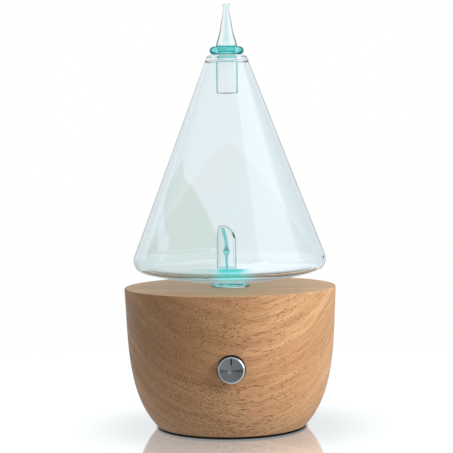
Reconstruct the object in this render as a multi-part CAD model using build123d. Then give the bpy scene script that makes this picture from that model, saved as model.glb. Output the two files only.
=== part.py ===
from build123d import *
from math import asin, atan2, cos, degrees, hypot, radians, sin, sqrt, tan
import os

# A nebulising essential oil diffuser, in millimetres. A turned wooden base hides an air pump, its
# control board and a power socket. Air from the pump goes up a hose into a conical glass reservoir,
# where a jet draws oil up and breaks it into mist, and the mist leaves by the spout of a glass stopper.
# The origin is the centre of the circle the diffuser stands on. +Z is up, and the dial faces -Y.

# ---------------------------------------------------------------- driving dimensions
FOOT_DROP = 1.2  # how far the foot ring stands below the wood
WOOD_HEIGHT = 72.0
WOOD_TOP_RADIUS = 55.0
WOOD_FOOT_RADIUS = 39.0
WOOD_BOTTOM = FOOT_DROP
WOOD_TOP = WOOD_BOTTOM + WOOD_HEIGHT
LID_THICKNESS = 10.0  # wood left above the cavity
CEILING = WOOD_TOP - LID_THICKNESS
CAVITY_RADIUS = 43.5
OPENING_RADIUS = 31.5  # mouth of the cavity, at the underside
REBATE_RADIUS = 36.0  # step that the bottom cover sits in
REBATE_DEPTH = 4.0
COVER_THICKNESS = 3.0
COVER_TOP = WOOD_BOTTOM + REBATE_DEPTH
COVER_LOW = COVER_TOP - COVER_THICKNESS

DIAL_Z = 37.3  # height of the dial's axis
DIAL_HOLE_RADIUS = 7.25
DIAL_PAD = 44.6  # distance of the flat milled inside the front wall
DIAL_PAD_HALF = (14.0, 11.0)  # half width and half height of that flat
DIAL_FACE = 56.6  # distance of the knob's front face

JACK_Z = 20.0
JACK_PAD = 42.4  # distance of the flat milled inside the rear wall
JACK_PAD_HALF = (9.0, 8.5)
JACK_SEAT = 46.0  # distance of the floor of the recess outside the rear wall

PORT_HOLE_RADIUS = 10.25
STEM_RADIUS = 4.0

GLASS_WALL = 1.6
FLASK_UNDERSIDE = WOOD_TOP + 2.2  # lowest point of the shallow bowl under the flask
FLASK_FLOOR = WOOD_TOP + 7.8  # inside, at the middle, where the jet stands on thick glass
FLASK_RADIUS = 50.0  # widest part of the cone
FLASK_CORNER = 6.6  # radius of the rounded lower edge
FLASK_CORNER_Z = WOOD_TOP + 14.0  # centre of that rounding
SHOULDER_RADIUS = 10.6
SHOULDER_Z = WOOD_TOP + 118.4  # where the cone meets the shoulder
MOUTH_Z = WOOD_TOP + 119.8  # top of the flask

MOTOR_Y = 8.0  # pump and motor axis, parallel to X
MOTOR_Z = 22.0
MOTOR_RADIUS = 12.0
MOTOR_FRONT = 1.0  # where the motor meets the pump
MOTOR_LENGTH = 30.0
PUMP_X = 13.0  # middle of the pump head
PUMP_HALF = 11.0  # half the side of the square pump head
CRANK_THROW = 0.8

FIT = 0.02  # radial gap between pieces that are pressed or screwed together
RUNNING = 0.05  # radial gap round a turning shaft
SHANK_CLEARANCE = 0.15  # radial gap of a screw's clearance hole
WIRE_RADIUS = 0.55


# ---------------------------------------------------------------- helpers
def lathe(*outline):
    """Solid of revolution about Z from (radius, height) corners."""
    return revolve(Plane.XZ * make_face(Polyline(*outline, close=True)), Axis.Z)


def lathe_edges(*edges):
    """Solid of revolution about Z from a closed chain of edges drawn as (radius, height)."""
    return revolve(Plane.XZ * make_face(Curve() + list(edges)), Axis.Z)


def rod(radius, low, high):
    """Cylinder on Z between two heights."""
    return Pos(0, 0, low) * extrude(Circle(radius), high - low)


def tube(outer, inner, low, high):
    return Pos(0, 0, low) * extrude(Circle(outer) - Circle(inner), high - low)


def block(x, y, z):
    """Box between (low, high) pairs on each axis."""
    middle = [(low + high) / 2 for low, high in (x, y, z)]
    return Pos(*middle) * Box(x[1] - x[0], y[1] - y[0], z[1] - z[0])


def around(shape, count, start=0.0):
    """Copies of a shape turned about Z."""
    return [Rot(0, 0, start + 360 * i / count) * shape for i in range(count)]


def facing_front(shape, z):
    """Turns a piece built on Z so that its +Z points to -Y, at height z."""
    return Pos(0, 0, z) * Rot(90, 0, 0) * shape


def facing_rear(shape, z):
    """Turns a piece built on Z so that its +Z points to +Y, at height z."""
    return Pos(0, 0, z) * Rot(-90, 0, 0) * shape


def on_motor_axis(shape):
    """Turns a piece built on Z so that its +Z points to +X, on the motor's axis."""
    return Pos(0, MOTOR_Y, MOTOR_Z) * Rot(0, 90, 0) * shape


def screw(head_radius, head_height, shank_radius, length):
    """Pan-head screw with a cross recess, its head's underside at the origin and its shank pointing down."""
    head = rod(head_radius, 0, head_height)
    head = fillet(head.edges().group_by(Axis.Z)[-1], head_height * 0.4)
    shank = lathe((0, 0.1), (shank_radius, 0.1), (shank_radius, shank_radius - length), (0, -length))
    slot_width = head_radius * 0.28
    slot_length = head_radius * 1.2
    recess = Box(slot_length, slot_width, head_height) + Box(slot_width, slot_length, head_height)
    return head + shank - Pos(0, 0, head_height) * recess


def upside_down(shape, x, y, z):
    """Puts a screw at a point with its head below and its shank pointing up."""
    return Pos(x, y, z) * Rot(180, 0, 0) * shape


def along(path, radius):
    """Round bar swept along a path."""
    return sweep(Plane(path @ 0, z_dir=path % 0) * Circle(radius), path=path)


def wire(points, ends, pull=None):
    """Insulated wire along a smooth path, with the directions of its two ends and how hard they pull."""
    scalars = (pull, pull) if pull else None
    return along(Spline(*points, tangents=ends, tangent_scalars=scalars), WIRE_RADIUS)


def barb(start, ridges=2, root=1.7, crest=2.0, pitch=2.6):
    """Hose barb on Z from start upwards, without its bore."""
    foot = start + 1.6
    corners = [(0, start), (root, start), (root, foot)]
    for _ in range(ridges):
        corners += [(crest, foot), (root, foot + pitch)]
        foot += pitch
    return lathe(*corners, (0, foot))


def save(name, *shapes):
    """Writes one sub-part as parts/NAME.step."""
    solids = [solid for shape in shapes for solid in shape.solids()]
    shape = solids[0] if len(solids) == 1 else Compound(children=solids)
    export_step(shape, f"parts/{name}.step")


# ---------------------------------------------------------------- wooden base
COVER_SCREW_PLACE = 33.6
COVER_SCREW_SHANK = 1.25
COVER_SCREW_SEAT = COVER_LOW + 1.4
PORT_SCREW_PLACE = 13.5
PORT_SCREW_SHANK = 1.1
PORT_SCREW_REACH = 5.0
PLATE_SCREW_X = 10.5
PLATE_SCREW_SHANK = 1.1
PLATE_SCREW_REACH = 4.5
JACK_FLANGE_RADIUS = 7.0
JACK_BARREL_RADIUS = 5.5
INSIDE = 30.0  # distances that cuts through the wall start and end at
OUTSIDE = 60.0


def wood_outline():
    """Side of the base: nearly upright above, rounding in towards the foot."""
    return Spline(
        (WOOD_FOOT_RADIUS, WOOD_BOTTOM),
        (WOOD_FOOT_RADIUS + 6.5, WOOD_BOTTOM + 9.2),
        (WOOD_TOP_RADIUS - 4.8, WOOD_BOTTOM + 21.5),
        (WOOD_TOP_RADIUS - 2.3, WOOD_BOTTOM + 35.0),
        (WOOD_TOP_RADIUS - 0.9, WOOD_BOTTOM + 53.0),
        (WOOD_TOP_RADIUS, WOOD_TOP),
    )


def wood_cavity():
    """Undercut hollow, wider than its mouth, with the rebate for the bottom cover."""
    lip = COVER_TOP + 3.0
    hollow = lathe(
        (0, COVER_TOP - 1),
        (OPENING_RADIUS, COVER_TOP - 1),
        (OPENING_RADIUS, lip),
        (CAVITY_RADIUS - 6.5, lip + 5.8),
        (CAVITY_RADIUS - 2.5, lip + 15.8),
        (CAVITY_RADIUS, lip + 29.8),
        (CAVITY_RADIUS, CEILING - 5),
        (CAVITY_RADIUS - 5, CEILING),
        (0, CEILING),
    )
    return hollow + rod(REBATE_RADIUS, WOOD_BOTTOM - 1, COVER_TOP)


def make_wood_base():
    side = wood_outline()
    solid = lathe_edges(
        side,
        Line(side @ 1, (0, WOOD_TOP)),
        Line((0, WOOD_TOP), (0, WOOD_BOTTOM)),
        Line((0, WOOD_BOTTOM), side @ 0),
    )
    solid = fillet(solid.edges().group_by(Axis.Z)[-1], 0.6)
    solid -= wood_cavity()
    solid -= rod(PORT_HOLE_RADIUS, CEILING - 1, WOOD_TOP + 1)
    width, height = DIAL_PAD_HALF
    solid -= facing_front(rod(DIAL_HOLE_RADIUS, INSIDE, OUTSIDE), DIAL_Z)
    solid -= block((-width, width), (-DIAL_PAD, -INSIDE), (DIAL_Z - height, DIAL_Z + height))
    width, height = JACK_PAD_HALF
    solid -= facing_rear(rod(JACK_BARREL_RADIUS + FIT, INSIDE, OUTSIDE), JACK_Z)
    solid -= facing_rear(rod(JACK_FLANGE_RADIUS + 0.2, JACK_SEAT, OUTSIDE), JACK_Z)
    solid -= block((-width, width), (INSIDE, JACK_PAD), (JACK_Z - height, JACK_Z + height))
    pilot = rod(COVER_SCREW_SHANK + FIT, COVER_TOP - 1, COVER_TOP + 6)
    solid -= around(Pos(COVER_SCREW_PLACE, 0, 0) * pilot, 4, 45)
    pilot = rod(PORT_SCREW_SHANK + FIT, CEILING - 1, CEILING + PORT_SCREW_REACH + 0.5)
    solid -= around(Pos(PORT_SCREW_PLACE, 0, 0) * pilot, 3, 90)
    for x in (-PLATE_SCREW_X, PLATE_SCREW_X):
        pilot = rod(PLATE_SCREW_SHANK + FIT, DIAL_PAD - 5, DIAL_PAD + PLATE_SCREW_REACH - 1)
        solid -= Pos(x, 0, 0) * facing_front(pilot, DIAL_Z)
    return solid


# ---------------------------------------------------------------- bottom cover, foot ring and screws
RING_OUTER = 31.0
RING_INNER = 26.0
RING_SEAT = 0.8  # depth of the groove that holds the ring
BOARD_X = 17.0
BOARD_Y = (-26.5, -10.0)
BOARD_BOTTOM = COVER_TOP + 4.8
BOARD_THICKNESS = 1.6
BOARD_TOP = BOARD_BOTTOM + BOARD_THICKNESS
BOARD_SCREW_SHANK = 0.9
BOARD_SCREW_PLACES = [(x, y) for x in (-14.8, 14.8) for y in (-24.2, -12.3)]
MOUNT_PLACES = [(x, y) for x in (5.0, 17.0) for y in (-5.6, 21.6)]
MOUNT_BOSS = 2.0
MOUNT_RADIUS = 2.8
MOUNT_SCREW_SHANK = 1.2
BOARD_POST_RADIUS = 2.3
VENT_PLACE = 14.0
VENT_LENGTH = 8.0
VENT_WIDTH = 2.0


def make_bottom_cover():
    cover = rod(REBATE_RADIUS - 0.2, COVER_LOW, COVER_TOP)
    cover = chamfer(cover.edges().group_by(Axis.Z)[0], 0.4)
    cover -= tube(RING_OUTER + FIT, RING_INNER - FIT, COVER_LOW - 1, COVER_LOW + RING_SEAT)
    for x, y in BOARD_SCREW_PLACES:
        cover += Pos(x, y, 0) * rod(BOARD_POST_RADIUS, COVER_TOP, BOARD_BOTTOM)
    for x, y in MOUNT_PLACES:
        cover += Pos(x, y, 0) * rod(MOUNT_RADIUS + 0.4, COVER_TOP, COVER_TOP + MOUNT_BOSS)
    for x, y in BOARD_SCREW_PLACES:
        cover -= Pos(x, y, 0) * rod(BOARD_SCREW_SHANK + FIT, COVER_TOP - 0.5, BOARD_BOTTOM + 1)
    for x, y in MOUNT_PLACES:
        cover -= Pos(x, y, 0) * rod(MOUNT_SCREW_SHANK + FIT, COVER_TOP - 1.2, COVER_TOP + MOUNT_BOSS + 1)
    hole = rod(COVER_SCREW_SHANK + SHANK_CLEARANCE, COVER_LOW - 1, COVER_TOP + 1)
    sink = rod(2.2, COVER_LOW - 1, COVER_SCREW_SEAT)
    cover -= around(Pos(COVER_SCREW_PLACE, 0, 0) * (hole + sink), 4, 45)
    slot = extrude(SlotOverall(VENT_LENGTH, VENT_WIDTH), COVER_THICKNESS + 2)
    vent = Pos(VENT_PLACE, 0, COVER_LOW - 1) * slot
    return cover - around(vent, 6, 30)


def make_foot_ring():
    """Rubber ring with four notches, so that air reaches the vents when it stands on a table."""
    ring = tube(RING_OUTER, RING_INNER, 0, COVER_LOW + RING_SEAT)
    ring = chamfer(ring.edges().group_by(Axis.Z)[0], 0.3)
    return ring - around(block((RING_INNER - 2, RING_OUTER + 2), (-3, 3), (-1, 1)), 4)


def make_cover_screws():
    one = upside_down(screw(1.9, 1.2, COVER_SCREW_SHANK, 7.0), COVER_SCREW_PLACE, 0, COVER_SCREW_SEAT)
    return around(one, 4, 45)


# ---------------------------------------------------------------- air port under the glass
HOLDER_FLANGE = 2.5
HOLDER_LOW = CEILING - HOLDER_FLANGE
HOLDER_TOP = WOOD_TOP - 1.6
SEAL_RADIUS = 6.0
SEAL_FLOOR = CEILING - 1.2
HOLDER_RADIUS = 17.0
PORT_BORE = 3.0  # radius of the elbow's spigot in the holder
LED_BOARD_THICKNESS = 1.6
LED_PLACE = 8.2
BARB_BORE = 1.1
ELBOW_Z = CEILING - 7.9  # height of the elbow's side barb
GLASS_SEAT = WOOD_TOP + 0.2  # underside of the glass flange
STEM_LENGTH = 10.0


def port_screw_holes():
    hole = rod(PORT_SCREW_SHANK + SHANK_CLEARANCE, HOLDER_LOW - 4, CEILING + 1)
    return around(Pos(PORT_SCREW_PLACE, 0, 0) * hole, 3, 90)


def make_port_holder():
    """Clear socket in the top hole. It holds the seal and lets the lamps' light up into the glass."""
    holder = rod(HOLDER_RADIUS, HOLDER_LOW, CEILING) + rod(PORT_HOLE_RADIUS - 0.15, CEILING, HOLDER_TOP)
    holder -= rod(SEAL_RADIUS, SEAL_FLOOR, HOLDER_TOP + 1)
    holder -= rod(PORT_BORE, HOLDER_LOW - 1, SEAL_FLOOR + 1)
    holder -= tube(LED_PLACE + 1.8, LED_PLACE - 1.6, HOLDER_LOW - 1, CEILING - 0.4)
    return holder - port_screw_holes()


def make_port_seal():
    """Silicone socket that grips the glass stem."""
    lip_top = GLASS_SEAT - 0.1
    seal = rod(SEAL_RADIUS - FIT, SEAL_FLOOR, HOLDER_TOP) + rod(7.6, HOLDER_TOP, lip_top)
    seal = fillet(seal.edges().group_by(Axis.Z)[-1], 0.5)
    seal -= rod(STEM_RADIUS + FIT, GLASS_SEAT - STEM_LENGTH - 0.1, lip_top + 1)
    return seal - rod(2.0, SEAL_FLOOR - 1, CEILING)


def make_port_elbow():
    """Elbow that turns the air from the hose up into the seal."""
    elbow = rod(4.0, ELBOW_Z - 3.5, HOLDER_LOW)
    elbow = fillet(elbow.edges().group_by(Axis.Z)[0], 1.0)
    elbow += rod(PORT_BORE - FIT, HOLDER_LOW - 0.5, SEAL_FLOOR)
    elbow += Pos(0, 0, ELBOW_Z) * Rot(0, 90, 0) * barb(3.0)
    elbow -= rod(BARB_BORE, ELBOW_Z, SEAL_FLOOR + 1)
    return elbow - Pos(0, 0, ELBOW_Z) * Rot(0, 90, 0) * rod(BARB_BORE, 0, 20)


def make_led_board():
    board = tube(HOLDER_RADIUS - 0.5, 4.4, HOLDER_LOW - LED_BOARD_THICKNESS, HOLDER_LOW)
    return board - port_screw_holes()


def make_led_lamps():
    """Three surface-mounted lamps in the holder's groove."""
    lamp = block((LED_PLACE - 1.3, LED_PLACE + 1.3), (-1.5, 1.5), (HOLDER_LOW, HOLDER_LOW + 1.6))
    lamp = chamfer(lamp.edges().group_by(Axis.Z)[-1], 0.3)
    return around(lamp, 3, 30)


def make_port_screws():
    reach = HOLDER_FLANGE + LED_BOARD_THICKNESS + PORT_SCREW_REACH
    seat = HOLDER_LOW - LED_BOARD_THICKNESS
    one = upside_down(screw(2.0, 1.4, PORT_SCREW_SHANK, reach), PORT_SCREW_PLACE, 0, seat)
    return around(one, 3, 90)


# ---------------------------------------------------------------- glass reservoir
FLANGE_RADIUS = 9.6
FLANGE_THICKNESS = 1.5
NECK_RADIUS = 4.9
FLOOR_HUB = 6.8  # radius of the level middle of the floor; the rest drains towards it
STEM_BORE = 1.8
STEM_BORE_TOP = WOOD_TOP + 4.3
JET_X = -1.6  # the jet stands a little to one side of the flask's axis
JET_BORE = 0.35
JET_LEAN = -1.9  # how far the jet's tip is drawn to the side
SHROUD_RADIUS = 5.0
SHROUD_WALL = 0.9
SHROUD_SHOULDER = WOOD_TOP + 24.0
SHROUD_TIP = WOOD_TOP + 31.4
SHROUD_TIP_RADIUS = 1.7
SHROUD_TIP_BORE = 1.15
MIST_RADIUS = 1.7  # opening in the side of the oil tube
OIL_RADIUS = 1.1  # two openings at its foot
STALK_RADIUS = 0.65  # of the air jet below its bulb
JET_RADIUS = 0.85  # and above it
BULB_RADIUS = 1.65
BULB_HALF = 3.6  # half the length of the bulb
MOUTH_THROAT = 6.5
STOPPER_TUBE_RADIUS = 5.55
STOPPER_TUBE_BORE = 4.8
BEAD_RADIUS = 6.9
GROOVE_RADIUS = 6.4  # waist between the two beads
COLLAR_RADIUS = 8.8
SPOUT_TIP_RADIUS = 2.0
SPOUT_TIP_BORE = 1.2


def cone_angle():
    """Lean of the cone's side from upright, tangent to the rounded corner and through the shoulder."""
    run = FLASK_RADIUS - FLASK_CORNER - SHOULDER_RADIUS
    rise = SHOULDER_Z - FLASK_CORNER_Z
    return atan2(run, rise) + asin(FLASK_CORNER / hypot(run, rise))


def flask_side(inset, slope, top_z):
    """Side of the flask drawn inwards by inset: rounded from the floor's slope at its edge, cone up to top_z."""
    lean = cone_angle()
    corner = FLASK_CORNER - inset
    centre = Vector(FLASK_RADIUS - FLASK_CORNER, FLASK_CORNER_Z)
    low = centre + Vector(sin(slope), -cos(slope)) * corner
    high = centre + Vector(cos(lean), sin(lean)) * corner
    halfway = (lean + slope - radians(90)) / 2
    middle = centre + Vector(cos(halfway), sin(halfway)) * corner
    top = Vector(high.X - (top_z - high.Y) * tan(lean), top_z)
    return [ThreePointArc(low, middle, high), Line(high, top)]


def flask_outside():
    """Shallow bowl underneath, tangent to the rounded corner, and the side above it."""
    reach = FLASK_RADIUS - FLASK_CORNER
    drop = FLASK_CORNER_Z - FLASK_UNDERSIDE
    bowl = (reach**2 + drop**2 - FLASK_CORNER**2) / (2 * (drop - FLASK_CORNER))
    slope = asin(reach / (bowl - FLASK_CORNER))
    side = flask_side(0, slope, SHOULDER_Z)
    middle = (bowl * sin(slope / 2), FLASK_UNDERSIDE + bowl * (1 - cos(slope / 2)))
    return [ThreePointArc((0, FLASK_UNDERSIDE), middle, side[0] @ 0), *side]


def flask_inside():
    """Level hub, floor rising from it to the rounded corner, and the side above it."""
    corner = FLASK_CORNER - GLASS_WALL
    run = FLASK_RADIUS - FLASK_CORNER - FLOOR_HUB
    rise = FLASK_CORNER_Z - FLASK_FLOOR
    slope = atan2(rise, run) - asin(corner / hypot(run, rise))
    side = flask_side(GLASS_WALL, slope, SHOULDER_Z - 3.0)
    hub_edge = (FLOOR_HUB, FLASK_FLOOR)
    return [Line((0, FLASK_FLOOR), hub_edge), Line(hub_edge, side[0] @ 0), *side]


def make_reservoir_flask():
    """Blown cone with its neck, flange and hollow stem in one piece of glass."""
    outer = flask_outside()
    inner = flask_inside()
    rim = SHOULDER_RADIUS - 1.4
    wall = lathe_edges(
        *outer,
        RadiusArc(outer[-1] @ 1, (rim, MOUTH_Z), -1.6),
        Line((rim, MOUTH_Z), (MOUTH_THROAT + 1.6, MOUTH_Z)),
        Line((MOUTH_THROAT + 1.6, MOUTH_Z), (MOUTH_THROAT, MOUTH_Z - 3.4)),
        Spline((MOUTH_THROAT, MOUTH_Z - 3.4), inner[-1] @ 1, tangents=[(0.3, -1), (tan(cone_angle()), -1)]),
        *inner,
        Line((0, FLASK_FLOOR), (0, FLASK_UNDERSIDE)),
    )
    flange_top = GLASS_SEAT + FLANGE_THICKNESS
    neck = lathe(
        (0, GLASS_SEAT - STEM_LENGTH),
        (STEM_RADIUS - 0.4, GLASS_SEAT - STEM_LENGTH),
        (STEM_RADIUS, GLASS_SEAT - STEM_LENGTH + 0.4),
        (STEM_RADIUS, GLASS_SEAT + 0.1),
        (NECK_RADIUS, GLASS_SEAT + 0.1),
        (NECK_RADIUS, FLASK_UNDERSIDE + 0.6),
        (0, FLASK_UNDERSIDE + 0.6),
    )
    flange = rod(FLANGE_RADIUS, GLASS_SEAT, flange_top)
    flange = fillet(flange.edges(), FLANGE_THICKNESS * 0.4)
    glass = wall + neck + flange
    glass -= rod(STEM_BORE, GLASS_SEAT - STEM_LENGTH - 1, STEM_BORE_TOP)
    return glass - Pos(JET_X, 0, 0) * rod(JET_BORE, STEM_BORE_TOP - 0.5, FLASK_FLOOR + 1)


def jet_nose(shoulder_radius, tip_radius):
    """Nose of the oil tube: a bullet shape whose tip leans to the side."""
    waist_radius = tip_radius + (shoulder_radius - tip_radius) * 0.76
    shoulder = Pos(0, 0, SHROUD_SHOULDER) * Circle(shoulder_radius)
    waist = Pos(JET_LEAN * 0.25, 0, (SHROUD_SHOULDER + SHROUD_TIP) / 2) * Circle(waist_radius)
    tip = Pos(JET_LEAN, 0, SHROUD_TIP) * Circle(tip_radius)
    return loft([shoulder, waist, tip])


def make_jet_shroud():
    """Oil tube round the air jet, drawn to a leaning tip with a mist opening in its side."""
    bore = SHROUD_RADIUS - SHROUD_WALL
    shroud = rod(SHROUD_RADIUS, FLASK_FLOOR, SHROUD_SHOULDER) + jet_nose(SHROUD_RADIUS, SHROUD_TIP_RADIUS)
    shroud -= rod(bore, FLASK_FLOOR - 1, SHROUD_SHOULDER) + jet_nose(bore, SHROUD_TIP_BORE)
    mist = Pos(4.3, -1.2, SHROUD_SHOULDER + 2.6) * Sphere(MIST_RADIUS)
    oil = Pos(0, 0, FLASK_FLOOR) * Rot(90, 0, 0) * rod(OIL_RADIUS, -8, 8)
    return Pos(JET_X, 0, 0) * (shroud - mist - oil)


def make_air_jet():
    """Fine tube with a small bulb, wider above the bulb and rising to just below the shroud's tip."""
    bulb_z = WOOD_TOP + 17.7
    bulb_low = bulb_z - BULB_HALF
    bulb_top = bulb_z + BULB_HALF
    side = Spline(
        (STALK_RADIUS, bulb_low),
        (BULB_RADIUS, bulb_z),
        (JET_RADIUS, bulb_top),
        tangents=[(0, 1), (0, 1)],
    )
    stalk = lathe_edges(
        Line((0, FLASK_FLOOR), (STALK_RADIUS, FLASK_FLOOR)),
        Line((STALK_RADIUS, FLASK_FLOOR), side @ 0),
        side,
        Line(side @ 1, (0, bulb_top)),
        Line((0, bulb_top), (0, FLASK_FLOOR)),
    )
    tip = (JET_LEAN * 0.9, 0, SHROUD_TIP - 1.4)
    path = Spline((0, 0, bulb_top), tip, tangents=[(0, 0, 1), (-0.1, 0, 1)])
    stalk += along(path, JET_RADIUS)
    stalk -= rod(JET_BORE, FLASK_FLOOR - 1, bulb_top)
    stalk -= along(path, JET_BORE)
    return Pos(JET_X, 0, 0) * stalk


def make_glass_stopper():
    """Ground-in stopper: a tube hanging in the mouth, two beads and a tapered spout, hollow throughout."""
    tube_low = WOOD_TOP + 99.9
    bead_low = WOOD_TOP + 117.2
    groove = WOOD_TOP + 120.1
    collar_top = WOOD_TOP + 124.0
    tip = WOOD_TOP + 146.1
    neck = Spline(
        (5.6, collar_top),
        (4.6, collar_top + 3.9),
        (3.6, collar_top + 7.2),
        (2.5, collar_top + 13.4),
        (1.6, tip - 1.8),
        (SPOUT_TIP_RADIUS, tip),
    )
    throat = Spline(
        (SPOUT_TIP_BORE, tip),
        (0.9, tip - 1.8),
        (1.7, collar_top + 13.4),
        (2.8, collar_top + 7.2),
        (3.8, collar_top + 3.9),
        (STOPPER_TUBE_BORE, collar_top - 2.0),
    )
    collar = (7.3, COLLAR_RADIUS)
    return lathe_edges(
        Line((STOPPER_TUBE_RADIUS - 0.35, tube_low), (STOPPER_TUBE_RADIUS, tube_low + 0.4)),
        Line((STOPPER_TUBE_RADIUS, tube_low + 0.4), (STOPPER_TUBE_RADIUS, bead_low)),
        Line((STOPPER_TUBE_RADIUS, bead_low), (BEAD_RADIUS, bead_low + 0.2)),
        RadiusArc((BEAD_RADIUS, bead_low + 0.2), (GROOVE_RADIUS, groove), 1.5),
        Line((GROOVE_RADIUS, groove), (collar[0], groove + 0.05)),
        ThreePointArc((collar[0], groove + 0.05), (collar[1], groove + 1.9), (collar[0], collar_top)),
        Line((collar[0], collar_top), neck @ 0),
        neck,
        Line(neck @ 1, throat @ 0),
        throat,
        Line(throat @ 1, (STOPPER_TUBE_BORE, tube_low + 0.3)),
        Line((STOPPER_TUBE_BORE, tube_low + 0.3), (STOPPER_TUBE_RADIUS - 0.35, tube_low)),
    )


# ---------------------------------------------------------------- dial
KNOB_RADIUS = 6.6
KNOB_LENGTH = 9.6
KNOB_BACK = DIAL_FACE - KNOB_LENGTH
SHAFT_RADIUS = 3.0
SHAFT_END = DIAL_FACE - 2.2
CORE_RADIUS = 4.6
CORE_BACK = KNOB_BACK + 3.2
PLATE_THICKNESS = 1.5
PLATE_BACK = DIAL_PAD - PLATE_THICKNESS
BUSHING_RADIUS = 3.5
BUSHING_END = PLATE_BACK + 5.0
POT_RADIUS = 8.4
POT_LENGTH = 11.5
POT_BACK = PLATE_BACK - POT_LENGTH
NUT_FLATS = 9.0
POINTER_DEPTH = 0.3
POT_LEG_X = (-4.0, 0.0, 4.0)
PLATE_HALF = (13.2, 9.5)
POINTER_HALF_WIDTH = 0.33
POINTER_REACH = (2.7, 5.8)  # distances of its two ends from the dial's axis
WIPER_RADIUS = 5.5
WIPER_THICKNESS = 1.5


def pointer_bar(grow=0.0):
    half = POINTER_HALF_WIDTH + grow
    low, high = POINTER_REACH
    return block((-half, half), (low - grow, high + grow), (DIAL_FACE - POINTER_DEPTH, DIAL_FACE))


def make_control_knob():
    """Turned metal knob, bored from behind for its core, with a groove for the pointer."""
    knob = rod(KNOB_RADIUS, KNOB_BACK, DIAL_FACE)
    knob = chamfer(knob.edges().group_by(Axis.Z)[-1], 0.6)
    knob -= rod(CORE_RADIUS + FIT, KNOB_BACK - 1, SHAFT_END + 0.4)
    return facing_front(knob - pointer_bar(FIT), DIAL_Z)


def make_knob_core():
    """Plastic sleeve between the knob and the shaft."""
    return facing_front(tube(CORE_RADIUS, SHAFT_RADIUS + FIT, CORE_BACK, SHAFT_END), DIAL_Z)


def make_dial_shaft():
    """Shaft of the potentiometer, with the wiper disc that keeps it in."""
    low = POT_BACK + 3
    shaft = rod(SHAFT_RADIUS, low, SHAFT_END) + rod(WIPER_RADIUS, low, low + WIPER_THICKNESS)
    return facing_front(shaft, DIAL_Z)


def make_dial_body():
    """Case of the potentiometer, with three legs for its wires."""
    case = rod(POT_RADIUS, POT_BACK, PLATE_BACK)
    case -= rod(WIPER_RADIUS + 1.0, POT_BACK + 1.5, POT_BACK + 6.0)
    case -= rod(SHAFT_RADIUS + RUNNING, POT_BACK + 5, PLATE_BACK + 1)
    for x in POT_LEG_X:
        case += block((x - 0.6, x + 0.6), (-11.0, -6.8), (POT_BACK + 0.3, POT_BACK + 1.1))
    return facing_front(case, DIAL_Z)


def make_dial_bushing():
    return facing_front(tube(BUSHING_RADIUS, SHAFT_RADIUS + RUNNING, PLATE_BACK, BUSHING_END), DIAL_Z)


def make_dial_nut():
    nut = extrude(RegularPolygon(NUT_FLATS / sqrt(3), 6) - Circle(BUSHING_RADIUS + FIT), 2.0)
    return facing_front(Pos(0, 0, DIAL_PAD) * nut, DIAL_Z)


def make_dial_plate():
    width, height = PLATE_HALF
    plate = block((-width, width), (-height, height), (PLATE_BACK, DIAL_PAD))
    plate = fillet(plate.edges().filter_by(Axis.Z), 2.0)
    plate -= rod(BUSHING_RADIUS + FIT, PLATE_BACK - 1, DIAL_PAD + 1)
    for x in (-PLATE_SCREW_X, PLATE_SCREW_X):
        plate -= Pos(x, 0, 0) * rod(PLATE_SCREW_SHANK + SHANK_CLEARANCE, PLATE_BACK - 1, DIAL_PAD + 1)
    return facing_front(plate, DIAL_Z)


def make_dial_screws():
    reach = PLATE_SCREW_REACH - 1.2 + PLATE_THICKNESS
    one = upside_down(screw(1.9, 1.2, PLATE_SCREW_SHANK, reach), 0, 0, PLATE_BACK)
    return [Pos(x, 0, 0) * facing_front(one, DIAL_Z) for x in (-PLATE_SCREW_X, PLATE_SCREW_X)]


# ---------------------------------------------------------------- air pump
BODY_TOP = MOTOR_Z + 14.0
BODY_LOW = MOTOR_Z - 11.0
BODY_X = (MOTOR_FRONT, PUMP_X + PUMP_HALF)
BODY_Y = (MOTOR_Y - PUMP_HALF, MOTOR_Y + PUMP_HALF)
SHAFT_R = 1.0
HUB_RADIUS = 3.0
DISC_RADIUS = 4.0
BIG_END_BORE = DISC_RADIUS + 2 * CRANK_THROW + 0.1
BIG_END_RADIUS = BIG_END_BORE + 1.6
CONROD_HALF = 1.6  # half the thickness of the conrod
DIAPHRAGM_THICKNESS = 1.0
PLATE_LOW = BODY_TOP + DIAPHRAGM_THICKNESS
PLATE_HEIGHT = 2.4
GASKET_LOW = PLATE_LOW + PLATE_HEIGHT
GASKET_THICKNESS = 0.6
HEAD_LOW = GASKET_LOW + GASKET_THICKNESS
HEAD_HEIGHT = 5.8
HEAD_TOP = HEAD_LOW + HEAD_HEIGHT
HEAD_SCREW_OFFSET = 8.8
HEAD_SCREW_SHANK = 1.1
FLAP_RADIUS = 2.6
FLAP_THICKNESS = 0.4
CHAMBER_RADIUS = 3.2
VALVE_OFFSET = 4.2  # of the inlet and outlet valves from the pump's middle
OUTLET_Z = HEAD_LOW + 2.9
FOOT_TOP = BODY_LOW + 2.2
FEET_X = (1.5, 20.5)
FEET_REACH = 17.0  # of the feet on each side of the motor's axis
DIAPHRAGM_BORE = 7.5
SWEEP_RADIUS = 7.6  # room that the conrod's ring needs in the crankcase
STUD_RADIUS = 2.5
STUD_LENGTH = 1.6
SEAT_DEPTH = 0.5  # pocket for the outlet flap
CHAMBER_DEPTH = 0.9


def over_pump(shape):
    """Moves a piece built on Z to the middle of the pump head."""
    return Pos(PUMP_X, MOTOR_Y, 0) * shape


def pump_slab(low, high):
    slab = over_pump(block((-PUMP_HALF, PUMP_HALF), (-PUMP_HALF, PUMP_HALF), (low, high)))
    return fillet(slab.edges().filter_by(Axis.Z), 1.5)


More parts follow.
